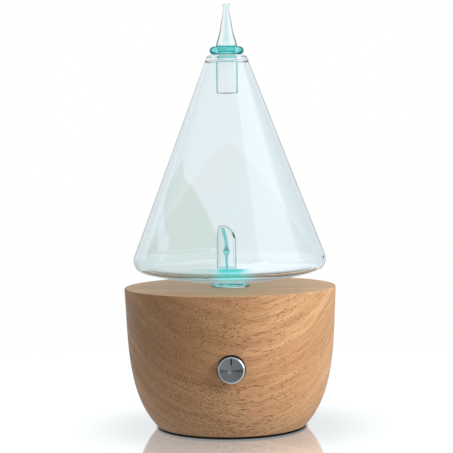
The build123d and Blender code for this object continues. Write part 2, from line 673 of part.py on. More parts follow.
def head_screw_holes(radius, low, high):
    holes = []
    for x in (-HEAD_SCREW_OFFSET, HEAD_SCREW_OFFSET):
        for y in (-HEAD_SCREW_OFFSET, HEAD_SCREW_OFFSET):
            holes.append(over_pump(Pos(x, y, 0) * rod(radius, low, high)))
    return holes


def make_pump_body():
    """Crankcase with two pairs of feet, a hole for the motor's nose and an open top."""
    inside_x = (BODY_X[0] + 4, BODY_X[1] - 2)
    body = block(BODY_X, BODY_Y, (BODY_LOW, BODY_TOP))
    body = fillet(body.edges().filter_by(Axis.Z), 1.5)
    body += block(FEET_X, (MOTOR_Y - FEET_REACH, MOTOR_Y + FEET_REACH), (BODY_LOW, FOOT_TOP))
    body -= block(inside_x, (BODY_Y[0] + 2, BODY_Y[1] - 2), (BODY_LOW + 2, BODY_TOP - 3))
    body -= over_pump(rod(DIAPHRAGM_BORE, BODY_TOP - 4, BODY_TOP + 1))
    body -= on_motor_axis(rod(HUB_RADIUS + FIT, MOTOR_FRONT - 1, BODY_X[0] + 5))
    sweep_room = on_motor_axis(rod(SWEEP_RADIUS, BODY_X[0] + 3.5, BODY_X[1] - 1.5))
    body -= sweep_room.intersect(block(inside_x, BODY_Y, (BODY_LOW, BODY_TOP)))
    body -= head_screw_holes(HEAD_SCREW_SHANK + FIT, BODY_TOP - 2.8, BODY_TOP + 1)
    for x, y in MOUNT_PLACES:
        body -= Pos(x, y, 0) * rod(MOUNT_SCREW_SHANK + SHANK_CLEARANCE, BODY_LOW - 1, FOOT_TOP + 1)
    return body


def make_pump_diaphragm():
    """Rubber sheet with a stud under it for the conrod."""
    sheet = pump_slab(BODY_TOP, BODY_TOP + DIAPHRAGM_THICKNESS)
    sheet += over_pump(rod(STUD_RADIUS, BODY_TOP - STUD_LENGTH, BODY_TOP + 0.1))
    return sheet - head_screw_holes(HEAD_SCREW_SHANK + SHANK_CLEARANCE, BODY_TOP - 1, PLATE_LOW + 1)


def valve_holes(x, low, high):
    hole = Pos(1.3, 0, 0) * rod(0.5, low, high)
    return [over_pump(Pos(x, 0, 0) * copy) for copy in around(hole, 4, 45)]


def make_valve_plate():
    """Plate with a pumping chamber below and a seat for each valve flap."""
    plate = pump_slab(PLATE_LOW, GASKET_LOW)
    plate -= over_pump(rod(DIAPHRAGM_BORE, PLATE_LOW - 1, PLATE_LOW + CHAMBER_DEPTH))
    seat = rod(FLAP_RADIUS + 0.3, GASKET_LOW - SEAT_DEPTH, GASKET_LOW + 1)
    plate -= over_pump(Pos(VALVE_OFFSET, 0, 0) * seat)
    for x in (-VALVE_OFFSET, VALVE_OFFSET):
        plate -= valve_holes(x, PLATE_LOW, GASKET_LOW + 1)
    return plate - head_screw_holes(HEAD_SCREW_SHANK + SHANK_CLEARANCE, PLATE_LOW - 1, GASKET_LOW + 1)


def make_valve_flaps():
    """Inlet flap under the plate and outlet flap on top of it."""
    inlet_low = PLATE_LOW + CHAMBER_DEPTH - FLAP_THICKNESS
    outlet_low = GASKET_LOW - SEAT_DEPTH
    inlet = over_pump(Pos(-VALVE_OFFSET, 0, 0) * rod(FLAP_RADIUS, inlet_low, inlet_low + FLAP_THICKNESS))
    outlet = over_pump(Pos(VALVE_OFFSET, 0, 0) * rod(FLAP_RADIUS, outlet_low, outlet_low + FLAP_THICKNESS))
    return [inlet, outlet]


def make_head_gasket():
    gasket = pump_slab(GASKET_LOW, HEAD_LOW)
    for x in (-VALVE_OFFSET, VALVE_OFFSET):
        gasket -= over_pump(Pos(x, 0, 0) * rod(CHAMBER_RADIUS, GASKET_LOW - 1, HEAD_LOW + 1))
    return gasket - head_screw_holes(HEAD_SCREW_SHANK + SHANK_CLEARANCE, GASKET_LOW - 1, HEAD_LOW + 1)


def make_pump_head():
    """Head with an intake recess on top and the outlet barb on its side."""
    head = pump_slab(HEAD_LOW, HEAD_TOP)
    outlet = Pos(0, MOTOR_Y, OUTLET_Z) * Rot(0, 90, 0)
    head += outlet * rod(2.6, BODY_X[1] - 1, BODY_X[1] + 0.8)
    head += outlet * barb(BODY_X[1])
    head -= outlet * rod(BARB_BORE, PUMP_X + VALVE_OFFSET, BODY_X[1] + 10)
    head -= over_pump(Pos(VALVE_OFFSET, 0, 0) * rod(CHAMBER_RADIUS, HEAD_LOW - 1, HEAD_TOP - 1.2))
    intake = rod(1.2, HEAD_LOW - 1, HEAD_TOP) + rod(CHAMBER_RADIUS, HEAD_TOP - 2.2, HEAD_TOP + 1)
    intake += rod(CHAMBER_RADIUS, HEAD_LOW - 1, HEAD_LOW + 1.5)
    head -= over_pump(Pos(-VALVE_OFFSET, 0, 0) * intake)
    return head - head_screw_holes(HEAD_SCREW_SHANK + SHANK_CLEARANCE, HEAD_LOW - 1, HEAD_TOP + 1)


def make_intake_filter():
    """Felt disc that keeps dust out of the pump."""
    felt = rod(CHAMBER_RADIUS - FIT, HEAD_TOP - 2.2, HEAD_TOP - 0.2)
    return over_pump(Pos(-VALVE_OFFSET, 0, 0) * felt)


def make_head_screws():
    length = HEAD_TOP - BODY_TOP + 2.5
    one = Pos(0, 0, HEAD_TOP) * screw(1.9, 1.3, HEAD_SCREW_SHANK, length)
    offsets = (-HEAD_SCREW_OFFSET, HEAD_SCREW_OFFSET)
    return [over_pump(Pos(x, y, 0) * one) for x in offsets for y in offsets]


def make_pump_conrod():
    """Ring round the eccentric, with a column up to the diaphragm's stud."""
    ring = tube(BIG_END_RADIUS, BIG_END_BORE, PUMP_X - CONROD_HALF, PUMP_X + CONROD_HALF)
    column_low = MOTOR_Z + BIG_END_BORE + 0.5
    column_top = BODY_TOP - STUD_LENGTH
    shape = on_motor_axis(ring)
    shape += over_pump(block((-CONROD_HALF, CONROD_HALF), (-2, 2), (column_low, column_top - 0.8)))
    return shape + over_pump(rod(STUD_RADIUS, column_top - 1.2, column_top))


def make_pump_eccentric():
    """Disc set off-centre on the motor's shaft."""
    disc = Pos(0, CRANK_THROW, 0) * rod(DISC_RADIUS, PUMP_X - 2.2, PUMP_X + 2.2)
    disc += rod(COLLAR_ON_SHAFT, PUMP_X - 4, PUMP_X)
    return on_motor_axis(disc - rod(SHAFT_R + FIT, PUMP_X - 5, PUMP_X + 5))


# ---------------------------------------------------------------- motor
MOTOR_BACK = MOTOR_FRONT - MOTOR_LENGTH
CAN_WALL = 1.0
CAP_THICKNESS = 3.0
ROTOR_RADIUS = 7.6
ROTOR_X = (MOTOR_BACK + 9.0, MOTOR_FRONT - 6.0)
MAGNET_INNER = ROTOR_RADIUS + 0.5
TERMINAL_OFFSET = 6.0
TERMINAL_HALF = (1.25, 0.25)  # half width and half thickness of each terminal
COLLAR_ON_SHAFT = 2.2


def make_motor_can():
    """Steel shell with a closed front, a bearing nose and an open back."""
    can = rod(MOTOR_RADIUS, MOTOR_BACK + CAP_THICKNESS, MOTOR_FRONT)
    can = fillet(can.edges().group_by(Axis.Z)[-1], 0.8)
    can += rod(HUB_RADIUS, MOTOR_FRONT - 2, MOTOR_FRONT + 1.6)
    can -= rod(MOTOR_RADIUS - CAN_WALL, MOTOR_BACK, MOTOR_FRONT - 1.2)
    return on_motor_axis(can - rod(SHAFT_R + RUNNING, MOTOR_FRONT - 3, MOTOR_FRONT + 3))


def make_motor_endcap():
    """Plastic cap with the rear bearing and slots for the two terminals."""
    cap = rod(MOTOR_RADIUS, MOTOR_BACK, MOTOR_BACK + CAP_THICKNESS)
    cap = chamfer(cap.edges().group_by(Axis.Z)[0], 0.6)
    rim = MOTOR_BACK + CAP_THICKNESS
    cap += rod(MOTOR_RADIUS - CAN_WALL - FIT, rim - 0.5, rim + 2)
    cap -= rod(SHAFT_R + RUNNING, MOTOR_BACK + 1.5, MOTOR_BACK + 8)
    return on_motor_axis(cap - terminal_bars(MOTOR_BACK - 1, FIT))


def terminal_bars(low, grow=0.0):
    width, thickness = (half + grow for half in TERMINAL_HALF)
    bar = block((-width, width), (-thickness, thickness), (low, MOTOR_BACK + 6))
    return [Pos(0, y, 0) * bar for y in (-TERMINAL_OFFSET, TERMINAL_OFFSET)]


def make_motor_terminals():
    return [on_motor_axis(bar) for bar in terminal_bars(MOTOR_BACK - 4)]


def make_motor_magnets():
    """Two curved magnets inside the can."""
    low, high = ROTOR_X[0] - 0.5, ROTOR_X[1] + 1.0
    shell = tube(MOTOR_RADIUS - CAN_WALL - FIT, MAGNET_INNER, low, high)
    shell -= block((-MOTOR_RADIUS, MOTOR_RADIUS), (-4, 4), (low - 1, high + 1))
    return [on_motor_axis(magnet) for magnet in shell.solids()]


def make_motor_rotor():
    """Laminated core with three winding slots."""
    core = rod(ROTOR_RADIUS, *ROTOR_X)
    slot = block((0.9, 6.4), (-2.0, 2.0), (ROTOR_X[0] - 1, ROTOR_X[1] + 1))
    mouth = block((0, 9), (-0.5, 0.5), (ROTOR_X[0] - 1, ROTOR_X[1] + 1))
    core -= around(Pos(2.0, 0, 0) * slot + mouth, 3)
    core += rod(2.4, *ROTOR_X)
    return on_motor_axis(core - rod(SHAFT_R + FIT, ROTOR_X[0] - 1, ROTOR_X[1] + 1))


def make_motor_windings():
    """Copper in the three slots."""
    coil = block((3.4, 5.8), (-1.8, 1.8), (ROTOR_X[0] - 0.8, ROTOR_X[1] + 0.8))
    coil = fillet(coil.edges().filter_by(Axis.Z), 0.5)
    return [on_motor_axis(copy) for copy in around(coil, 3)]


def make_motor_shaft():
    shaft = rod(SHAFT_R, MOTOR_BACK + 1.8, PUMP_X + 3.2)
    return on_motor_axis(shaft + rod(COLLAR_ON_SHAFT, MOTOR_BACK + 6, ROTOR_X[0] - 1.2))


def make_motor_pad():
    """Foam saddle that carries the motor."""
    pad = block((MOTOR_BACK + 4, MOTOR_BACK + 18), (MOTOR_Y - 9, MOTOR_Y + 9), (COVER_TOP, MOTOR_Z - 5))
    return pad - on_motor_axis(rod(MOTOR_RADIUS + FIT, MOTOR_BACK, MOTOR_FRONT))


def make_pump_mounts():
    """Rubber bushings under the pump's feet."""
    low, high = COVER_TOP + MOUNT_BOSS, BODY_LOW
    bush = tube(MOUNT_RADIUS, MOUNT_SCREW_SHANK + SHANK_CLEARANCE, low, high)
    bush -= Pos(0, 0, (low + high) / 2) * Torus(MOUNT_RADIUS + 0.5, 0.9)
    return [Pos(x, y, 0) * bush for x, y in MOUNT_PLACES]


def make_pump_screws():
    length = FOOT_TOP - COVER_TOP + 1.0
    one = Pos(0, 0, FOOT_TOP) * screw(2.2, 1.4, MOUNT_SCREW_SHANK, length)
    return [Pos(x, y, 0) * one for x, y in MOUNT_PLACES]


# ---------------------------------------------------------------- hose
HOSE_RADIUS = 3.1
HOSE_BORE = 2.02
HOSE_TURN_X = 30.0  # where the straight ends meet the half turn
HOSE_PUMP_END = BODY_X[1] + 0.9
HOSE_ELBOW_END = 4.3


def make_air_hose():
    """Silicone hose: straight off the pump's barb, half a turn, and straight back to the elbow."""
    rise = ELBOW_Z - OUTLET_Z
    bend = hypot(MOTOR_Y, rise) / 2
    ring = Circle(HOSE_RADIUS) - Circle(HOSE_BORE)
    low_end = Pos(0, -bend, 0) * Rot(0, -90, 0) * extrude(ring, HOSE_TURN_X - HOSE_PUMP_END)
    high_end = Pos(0, bend, 0) * Rot(0, -90, 0) * extrude(ring, HOSE_TURN_X - HOSE_ELBOW_END)
    turn = revolve(Pos(0, -bend, 0) * Rot(0, 90, 0) * ring, Axis.Z, 180)
    tilt = degrees(atan2(rise, -MOTOR_Y))
    middle = Pos(HOSE_TURN_X, MOTOR_Y / 2, (OUTLET_Z + ELBOW_Z) / 2)
    return middle * Rot(tilt, 0, 0) * (low_end + turn + high_end)


# ---------------------------------------------------------------- control board
HEADER_HEIGHT = 6.0
HEADER_TOP = BOARD_TOP + HEADER_HEIGHT
SMALL_HEADERS = {"motor": -8.5, "lamp": 0.0, "power": 8.5}  # X of each two-way header
SMALL_HEADER_Y = -13.4
DIAL_HEADER = (-7.5, -22.4)
WIRE_PITCH = 2.5
CHIP_PITCH = 1.27
CHIP_PLACE = (2.95, -22.65)
CAPACITOR_PLACE = (9.6, -22.4)


def make_control_board():
    board = block((-BOARD_X, BOARD_X), BOARD_Y, (BOARD_BOTTOM, BOARD_TOP))
    board = fillet(board.edges().filter_by(Axis.Z), 1.2)
    for x, y in BOARD_SCREW_PLACES:
        board -= Pos(x, y, 0) * rod(BOARD_SCREW_SHANK + SHANK_CLEARANCE, BOARD_BOTTOM - 1, BOARD_TOP + 1)
    return board


def header(x, y, ways):
    half = (ways * WIRE_PITCH + 0.8) / 2
    shell = block((x - half, x + half), (y - 2.2, y + 2.2), (BOARD_TOP, HEADER_TOP))
    return chamfer(shell.edges().group_by(Axis.Z)[-1], 0.3)


def make_board_headers():
    small = [header(x, SMALL_HEADER_Y, 2) for x in SMALL_HEADERS.values()]
    return small + [header(*DIAL_HEADER, 3)]


def make_driver_chip():
    """Flat chip with four legs a side."""
    low = BOARD_TOP + 0.1
    chip = block((-2.45, 2.45), (-1.95, 1.95), (low, low + 1.5))
    for i in range(4):
        x = (i - 1.5) * CHIP_PITCH
        chip += block((x - 0.2, x + 0.2), (-2.95, 2.95), (BOARD_TOP, BOARD_TOP + 0.4))
    return Pos(*CHIP_PLACE, 0) * chip


def make_board_capacitor():
    can = rod(3.15, BOARD_TOP, BOARD_TOP + 11)
    can = fillet(can.edges().group_by(Axis.Z)[-1], 0.5)
    return Pos(*CAPACITOR_PLACE, 0) * can


def make_board_screws():
    one = Pos(0, 0, BOARD_TOP) * screw(1.7, 1.1, BOARD_SCREW_SHANK, BOARD_THICKNESS + 4.4)
    return [Pos(x, y, 0) * one for x, y in BOARD_SCREW_PLACES]


# ---------------------------------------------------------------- power jack
JACK_BACK = JACK_PAD - 11.0
JACK_FACE = JACK_SEAT + 2.0
JACK_BORE = 2.8
JACK_PIN = 1.0
JACK_NUT_FLATS = 14.0
JACK_TAB_X = 3.2


def make_power_jack():
    """Round socket with a flange outside the wall and a threaded barrel through it."""
    jack = rod(JACK_BARREL_RADIUS, JACK_BACK, JACK_SEAT + 0.1)
    jack += rod(JACK_FLANGE_RADIUS, JACK_SEAT, JACK_FACE)
    jack = chamfer(jack.edges().group_by(Axis.Z)[-1], 0.5)
    jack -= rod(JACK_BORE, JACK_BACK + 2, JACK_FACE + 1)
    jack -= rod(JACK_PIN + FIT, JACK_BACK - 1, JACK_BACK + 3)
    return facing_rear(jack, JACK_Z)


def make_jack_pin():
    pin = rod(JACK_PIN, JACK_BACK, JACK_FACE - 1.0)
    return facing_rear(chamfer(pin.edges().group_by(Axis.Z)[-1], 0.3), JACK_Z)


def make_jack_nut():
    nut = extrude(RegularPolygon(JACK_NUT_FLATS / sqrt(3), 6) - Circle(JACK_BARREL_RADIUS + FIT), 2.4)
    return facing_rear(Pos(0, 0, JACK_PAD - 2.4) * nut, JACK_Z)


def make_jack_tabs():
    """Two solder tabs behind the socket."""
    tab = block((-0.9, 0.9), (-0.25, 0.25), (JACK_BACK - 3.5, JACK_BACK))
    return [facing_rear(Pos(x, 0, 0) * tab, JACK_Z) for x in (-JACK_TAB_X, JACK_TAB_X)]


# ---------------------------------------------------------------- wires
def header_wire_starts(x, y, ways):
    first = x - (ways - 1) * WIRE_PITCH / 2
    return [(first + i * WIRE_PITCH, y, HEADER_TOP) for i in range(ways)]


def make_motor_leads():
    leads = []
    starts = header_wire_starts(SMALL_HEADERS["motor"], SMALL_HEADER_Y, 2)
    for start, side, reach in zip(starts, (-TERMINAL_OFFSET, TERMINAL_OFFSET), (0.0, 1.6)):
        end = (MOTOR_BACK - 4.75, MOTOR_Y + side, MOTOR_Z)
        bend = (-20.0 - reach, -13.5 - reach * 2, 24.0 + reach)
        leads.append(wire([start, bend, end], [(0, 0, 1), (0, 1, 0)]))
    return leads


def make_lamp_leads():
    leads = []
    for start in header_wire_starts(SMALL_HEADERS["lamp"], SMALL_HEADER_Y, 2):
        end = (start[0], -10.5, HOLDER_LOW - LED_BOARD_THICKNESS)
        leads.append(wire([start, (start[0], -15.5, 40.0), end], [(0, 0, 1), (0, 0, 1)]))
    return leads


def make_dial_leads():
    leads = []
    for start, x in zip(header_wire_starts(*DIAL_HEADER, 3), POT_LEG_X):
        end = (x, -POT_BACK - 1.7, DIAL_Z - 10.4)
        leads.append(wire([start, end], [(0, 0, 1), (0, 0, 1)]))
    return leads


def make_jack_leads():
    """Two leads from the power header, round the pump's outlet side, to the socket's tabs."""
    near, far = header_wire_starts(SMALL_HEADERS["power"], SMALL_HEADER_Y, 2)
    tab_y = JACK_BACK - 4.2
    upper = [
        near,
        (near[0] + 3.0, near[1] - 0.4, near[2] + 6.3),
        (22.0, -11.5, 26.0),
        (32.0, 2.0, 25.5),
        (27.0, 18.0, 24.5),
        (15.0, 25.4, 23.6),
        (4.0, 27.0, 22.3),
        (-JACK_TAB_X, tab_y, JACK_Z),
    ]
    lower = [
        far,
        (far[0] + 3.0, far[1] - 0.4, far[2] + 4.0),
        (22.0, -12.7, 22.2),
        (32.0, 2.0, 21.5),
        (27.0, 18.0, 20.6),
        (16.0, 25.6, 20.2),
        (JACK_TAB_X, tab_y, JACK_Z),
    ]
    ends = [(0, 0, 1), (-1, 0, 0)]
    return [wire(upper, ends, pull=0.3), wire(lower, ends, pull=0.3)]


# ---------------------------------------------------------------- the whole diffuser
PARTS = {
    "wood_base": make_wood_base,
    "bottom_cover": make_bottom_cover,
    "foot_ring": make_foot_ring,
    "cover_screws": make_cover_screws,
    "control_knob": make_control_knob,
    "knob_core": make_knob_core,
    "knob_pointer": lambda: facing_front(pointer_bar(), DIAL_Z),
    "dial_shaft": make_dial_shaft,
    "dial_body": make_dial_body,
    "dial_bushing": make_dial_bushing,
    "dial_nut": make_dial_nut,
    "dial_plate": make_dial_plate,
    "dial_screws": make_dial_screws,
    "reservoir_flask": make_reservoir_flask,
    "jet_shroud": make_jet_shroud,
    "air_jet": make_air_jet,
    "glass_stopper": make_glass_stopper,
    "port_holder": make_port_holder,
    "port_seal": make_port_seal,
    "port_elbow": make_port_elbow,
    "port_screws": make_port_screws,
    "led_board": make_led_board,
    "led_lamps": make_led_lamps,
    "air_hose": make_air_hose,
    "pump_body": make_pump_body,
    "pump_diaphragm": make_pump_diaphragm,
    "valve_plate": make_valve_plate,
    "valve_flaps": make_valve_flaps,
    "head_gasket": make_head_gasket,
    "pump_head": make_pump_head,
    "intake_filter": make_intake_filter,
    "head_screws": make_head_screws,
    "pump_conrod": make_pump_conrod,
    "pump_eccentric": make_pump_eccentric,
    "pump_mounts": make_pump_mounts,
    "pump_screws": make_pump_screws,
    "motor_shaft": make_motor_shaft,
    "motor_rotor": make_motor_rotor,
    "motor_windings": make_motor_windings,
    "motor_magnets": make_motor_magnets,
    "motor_can": make_motor_can,
    "motor_endcap": make_motor_endcap,
    "motor_terminals": make_motor_terminals,
    "motor_pad": make_motor_pad,
    "control_board": make_control_board,
    "driver_chip": make_driver_chip,
    "board_capacitor": make_board_capacitor,
    "board_headers": make_board_headers,
    "board_screws": make_board_screws,
    "power_jack": make_power_jack,
    "jack_pin": make_jack_pin,
    "jack_nut": make_jack_nut,
    "jack_tabs": make_jack_tabs,
    "motor_leads": make_motor_leads,
    "lamp_leads": make_lamp_leads,
    "dial_leads": make_dial_leads,
    "jack_leads": make_jack_leads,
}

os.makedirs("parts", exist_ok=True)
for part_name, make in PARTS.items():
    made = make()
    save(part_name, *(made if isinstance(made, list) else [made]))
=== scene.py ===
import math

import bpy
from mathutils import Matrix, Vector


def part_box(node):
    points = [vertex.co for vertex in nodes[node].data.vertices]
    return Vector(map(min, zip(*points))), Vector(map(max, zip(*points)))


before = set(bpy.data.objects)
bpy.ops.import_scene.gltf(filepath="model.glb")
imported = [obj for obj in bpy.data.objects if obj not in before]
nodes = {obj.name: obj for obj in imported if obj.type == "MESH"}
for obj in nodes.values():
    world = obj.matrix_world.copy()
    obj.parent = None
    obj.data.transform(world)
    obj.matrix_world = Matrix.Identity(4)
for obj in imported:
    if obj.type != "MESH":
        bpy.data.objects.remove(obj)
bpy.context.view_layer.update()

# ---------------------------------------------------------------- places, in metres, from the frame
_, wood_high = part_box("wood_base")
stopper_low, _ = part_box("glass_stopper")
knob_low, knob_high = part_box("control_knob")
WOOD_TOP = wood_high.z
KNOB_CENTRE = Vector((0.0, knob_low.y, (knob_low.z + knob_high.z) / 2))
FLASK_UNDERSIDE = WOOD_TOP + 0.0022  # lowest point of the bowl under the flask
FLASK_FLOOR = WOOD_TOP + 0.0078  # inside, at the middle
COLLAR_LOW = stopper_low.z + 0.0165  # the stopper's two beads lie between these
COLLAR_HIGH = stopper_low.z + 0.0245


# ---------------------------------------------------------------- node-tree helper
class Nodes:
    """A node tree that is built by adding nodes one by one."""

    def __init__(self, owner, output_kind):
        self.owner = owner
        owner.use_nodes = True
        self.tree = owner.node_tree
        self.tree.nodes.clear()
        self.output = self.tree.nodes.new("ShaderNodeOutput" + output_kind)

    def put(self, socket, value):
        """Gives an input socket a value, or links it to another node's output socket."""
        if isinstance(value, bpy.types.NodeSocket):
            self.tree.links.new(value, socket)
        else:
            socket.default_value = value

    def add(self, kind, inputs=None, **settings):
        """New node. An input is a number, a vector, or another node's output socket."""
        node = self.tree.nodes.new("ShaderNode" + kind)
        for key, value in settings.items():
            setattr(node, key, value)
        for key, value in (inputs or {}).items():
            self.put(node.inputs[key], value)
        return node

    def math(self, operation, a, b=0.0):
        return self.add("Math", {0: a, 1: b}, operation=operation).outputs[0]

    def product(self, *factors):
        result = factors[0]
        for factor in factors[1:]:
            result = self.math("MULTIPLY", result, factor)
        return result

    def inverse(self, value):
        return self.math("SUBTRACT", 1.0, value)

    def length(self, a, b):
        """Length of the flat vector (a, b)."""
        return self.math("SQRT", self.math("ADD", self.product(a, a), self.product(b, b)))

    def split(self, vector):
        """The x, y and z of a vector."""
        return self.add("SeparateXYZ", {0: vector}).outputs[0:3]

    def join(self, x, y, z):
        return self.add("CombineXYZ", {0: x, 1: y, 2: z}).outputs[0]

    def dot(self, a, b):
        return self.add("VectorMath", {0: a, 1: b}, operation="DOT_PRODUCT").outputs["Value"]

    def place(self):
        """Position on the piece, in metres in the row frame."""
        return self.add("TexCoord").outputs["Object"]

    def facing(self):
        """Zero where the surface is seen face-on, and one where it is seen edge-on."""
        return self.add("LayerWeight", {"Blend": 0.5}).outputs["Facing"]

    def path(self):
        """What kind of ray sees the surface, and through how many others."""
        return self.add("LightPath").outputs

    def to_viewer(self):
        """Direction from the surface back along the ray that sees it."""
        return self.add("NewGeometry").outputs["Incoming"]

    def noise(self, vector, scale, detail=3.0, roughness=0.5):
        inputs = {"Vector": vector, "Scale": scale, "Detail": detail, "Roughness": roughness}
        return self.add("TexNoise", inputs).outputs["Fac"]

    def step(self, value, low, high, to_low=0.0, to_high=1.0):
        """Smooth step of a value from low to high."""
        inputs = {"Value": value, "From Min": low, "From Max": high, "To Min": to_low, "To Max": to_high}
        return self.add("MapRange", inputs, interpolation_type="SMOOTHSTEP").outputs["Result"]

    def window(self, value, low, high, soft):
        """One between low and high, with soft ends."""
        rising = self.step(value, low, low + soft)
        falling = self.step(value, high - soft, high)
        return self.product(rising, self.inverse(falling))

    def mix(self, factor, a, b):
        """Colour mix: a where the factor is zero, b where it is one."""
        node = self.add("Mix", data_type="RGBA")
        for index, value in ((0, factor), (6, a), (7, b)):
            self.put(node.inputs[index], value)
        return node.outputs[2]

    def grey(self, tone, green=1.0, blue=1.0):
        """Colour of a tone, with its green and blue as shares of its red."""
        channels = {0: tone, 1: self.product(tone, green), 2: self.product(tone, blue)}
        return self.add("CombineColor", channels).outputs[0]

    def bump(self, height, distance, strength=1.0):
        inputs = {"Height": height, "Distance": distance, "Strength": strength}
        return self.add("Bump", inputs).outputs["Normal"]

    def glow(self, colour, strength=1.0):
        """Shader that shows a colour whatever light falls on it."""
        return self.add("Emission", {"Color": colour, "Strength": strength}).outputs[0]

    def blend(self, share, a, b):
        """Shader mix: a where the share is zero, b where it is one."""
        return self.add("MixShader", {0: share, 1: a, 2: b}).outputs[0]

    def finish(self, shader):
        self.tree.links.new(shader, self.output.inputs["Surface"])
        return self.owner


def surface(name):
    return Nodes(bpy.data.materials.new(name), "Material")


def rgb(r, g, b):
    return (r, g, b, 1.0)


def scaled(colour, share):
    """A colour's three channels times a share, none over one."""
    return tuple(min(1.0, channel * share) for channel in colour)


def paint(node_name, material):
    """Gives a CAD node a material in every slot."""
    for material_slot in nodes[node_name].material_slots:
        material_slot.material = material


# ---------------------------------------------------------------- wood
WOOD_DARK = rgb(0.385, 0.206, 0.095)
WOOD_LIGHT = rgb(0.585, 0.350, 0.180)
WOOD_RED = rgb(0.520, 0.250, 0.130)
WOOD_LINE = rgb(0.270, 0.128, 0.050)
WOOD_PORE = rgb(0.110, 0.047, 0.017)
# painted sheen colour for the turned top
WOOD_TOP_SHEEN = rgb(0.500, 0.340, 0.200)
WOOD_PAINTED_SHEEN = rgb(0.56, 0.57, 0.54)
FIBRE = Vector((0.965, 0.22, 0.12)).normalized()  # the way the grain runs
LAYER_TILT = Vector((0.26, -0.69, 1.0))  # roughly across the growth layers, which dip to the front


def grain_axes(s, place):
    """Distances along the fibre, across it within a layer, and through the gently waved layers."""
    across = (LAYER_TILT - LAYER_TILT.dot(FIBRE) * FIBRE).normalized()
    along = s.dot(place, FIBRE)
    layer = s.dot(place, across)
    flat = s.dot(place, across.cross(FIBRE))
    drift = s.math("SUBTRACT", s.noise(place, 10.0, 2.0), 0.5)
    wobble = s.math("SUBTRACT", s.noise(place, 60.0, 2.0), 0.5)
    layer = s.math("ADD", layer, s.product(drift, 0.014))
    layer = s.math("ADD", layer, s.product(wobble, 0.0009))
    return along, s.math("ADD", flat, s.product(wobble, 0.0020)), layer, flat


def seen_through_flask(s, upward):
    """Share of painted room sheen on the top: mirrored, seen through glass at a low angle, or deep in its
    floor.
    """
    path = s.path()
    through_glass = path["Is Transmission Ray"]
    mirrored = s.product(path["Is Glossy Ray"], s.inverse(through_glass))
    low_angle = s.product(s.step(s.facing(), 0.70, 0.80), through_glass)
    low_angle = s.math("MAXIMUM", low_angle, mirrored)
    _, _, climb = s.split(s.to_viewer())
    nearly_level = s.math("LESS_THAN", s.math("ABSOLUTE", climb), 0.26)
    deep = s.product(s.math("GREATER_THAN", path["Transmission Depth"], 5.5), nearly_level)
    return s.product(s.math("MAXIMUM", s.product(low_angle, upward), deep), 0.94)


def make_wood():
    """Straight-grained wood with growth layers that dip to the front and long pores cut at every angle."""
    s = surface("turned_wood")
    place = s.place()
    x, _, z = s.split(place)
    along, waved_flat, layer, flat = grain_axes(s, place)
    # growth layers: broad, narrow and hair-fine
    grain = s.join(s.product(along, 0.05), s.product(flat, 0.07), layer)
    broad = s.noise(grain, 120.0, 2.0)
    bands = s.noise(grain, 460.0, 3.0, 0.65)
    fine = s.noise(grain, 1500.0, 3.0, 0.7)
    tone = s.math("ADD", s.product(bands, 0.66), s.product(broad, 0.34))
    tone = s.step(tone, 0.32, 0.68)
    colour = s.mix(tone, WOOD_DARK, WOOD_LIGHT)
    patch = s.step(s.noise(place, 24.0, 2.0), 0.40, 0.68)
    colour = s.mix(s.product(patch, 0.30), colour, WOOD_RED)
    colour = s.mix(s.product(s.step(fine, 0.44, 0.64), 0.34), colour, WOOD_LINE)
    # pores: long thin vessels along the fibre, crowded in some layers and on the left of the block
    vessel = s.join(s.product(along, 0.085), waved_flat, layer)
    flecks = s.noise(vessel, 3600.0, 2.0, 0.6)
    crowd = s.step(s.noise(grain, 110.0, 2.0), 0.36, 0.58)
    crowd_left = s.step(x, 0.022, -0.006, 0.34, 1.0)
    threshold = s.math("SUBTRACT", 0.635, s.product(crowd, crowd_left, 0.105))
    pore = s.step(s.math("SUBTRACT", s.noise(vessel, 2100.0, 1.0), threshold), 0.0, 0.09)
    colour = s.mix(s.product(s.step(flecks, 0.50, 0.68), 0.30), colour, WOOD_LINE)
    colour = s.mix(s.product(pore, 0.70), colour, WOOD_PORE)
    # darker streaks at the left, which reach further across near the top: partly the wood's own streaky tone,
    # partly painted shade on the side away from the key light
    leaning_x = s.math("SUBTRACT", x, s.product(s.math("SUBTRACT", z, 0.030), 0.35))
    streaks = s.step(s.noise(grain, 60.0, 2.0), 0.30, 0.70, 0.4, 1.0)
    left_streaks_and_shade = s.product(s.step(leaning_x, 0.014, -0.020), streaks)
    colour = s.mix(s.product(left_streaks_and_shade, s.step(z, 0.016, 0.050, 0.30, 0.62)), colour, WOOD_LINE)
    # painted sheen: the upward-facing top is paled toward a greyer tone, standing in for the room light it
    # reflects at a glancing angle
    normal = s.add("NewGeometry").outputs["Normal"]
    upward = s.step(s.dot(normal, (0.0, 0.0, 1.0)), 0.80, 0.97)
    colour = s.mix(s.product(upward, 0.62), colour, WOOD_TOP_SHEEN)
    height = s.math("SUBTRACT", s.product(bands, 0.3), pore)
    wood = s.add(
        "BsdfPrincipled",
        {
            "Base Color": colour,
            "Roughness": s.step(tone, 0.0, 1.0, 0.52, 0.42),
            "Normal": s.bump(height, 0.00022, 0.6),
            "Specular IOR Level": 0.30,
        },
    )
    # painted reflection: a flat pale glow stands in for the room light on the top where it is mirrored or
    # seen through the flask
    sheen = seen_through_flask(s, upward)
    return s.finish(s.blend(sheen, wood.outputs[0], s.glow(WOOD_PAINTED_SHEEN)))


# ---------------------------------------------------------------- glass
CLEAR = (0.932, 0.966, 0.977)
# painted lamp light: the teal tint and glow laid on the glass where the lamps' light shows in it
TEAL = rgb(0.14, 0.70, 0.69)
GLOW = rgb(0.04, 0.62, 0.60)
FLOOR_TEAL = rgb(0.04, 0.58, 0.58)
OPEN_AIR = rgb(0.93, 0.95, 0.96)  # what the glass lets through of the light that falls on what is behind it


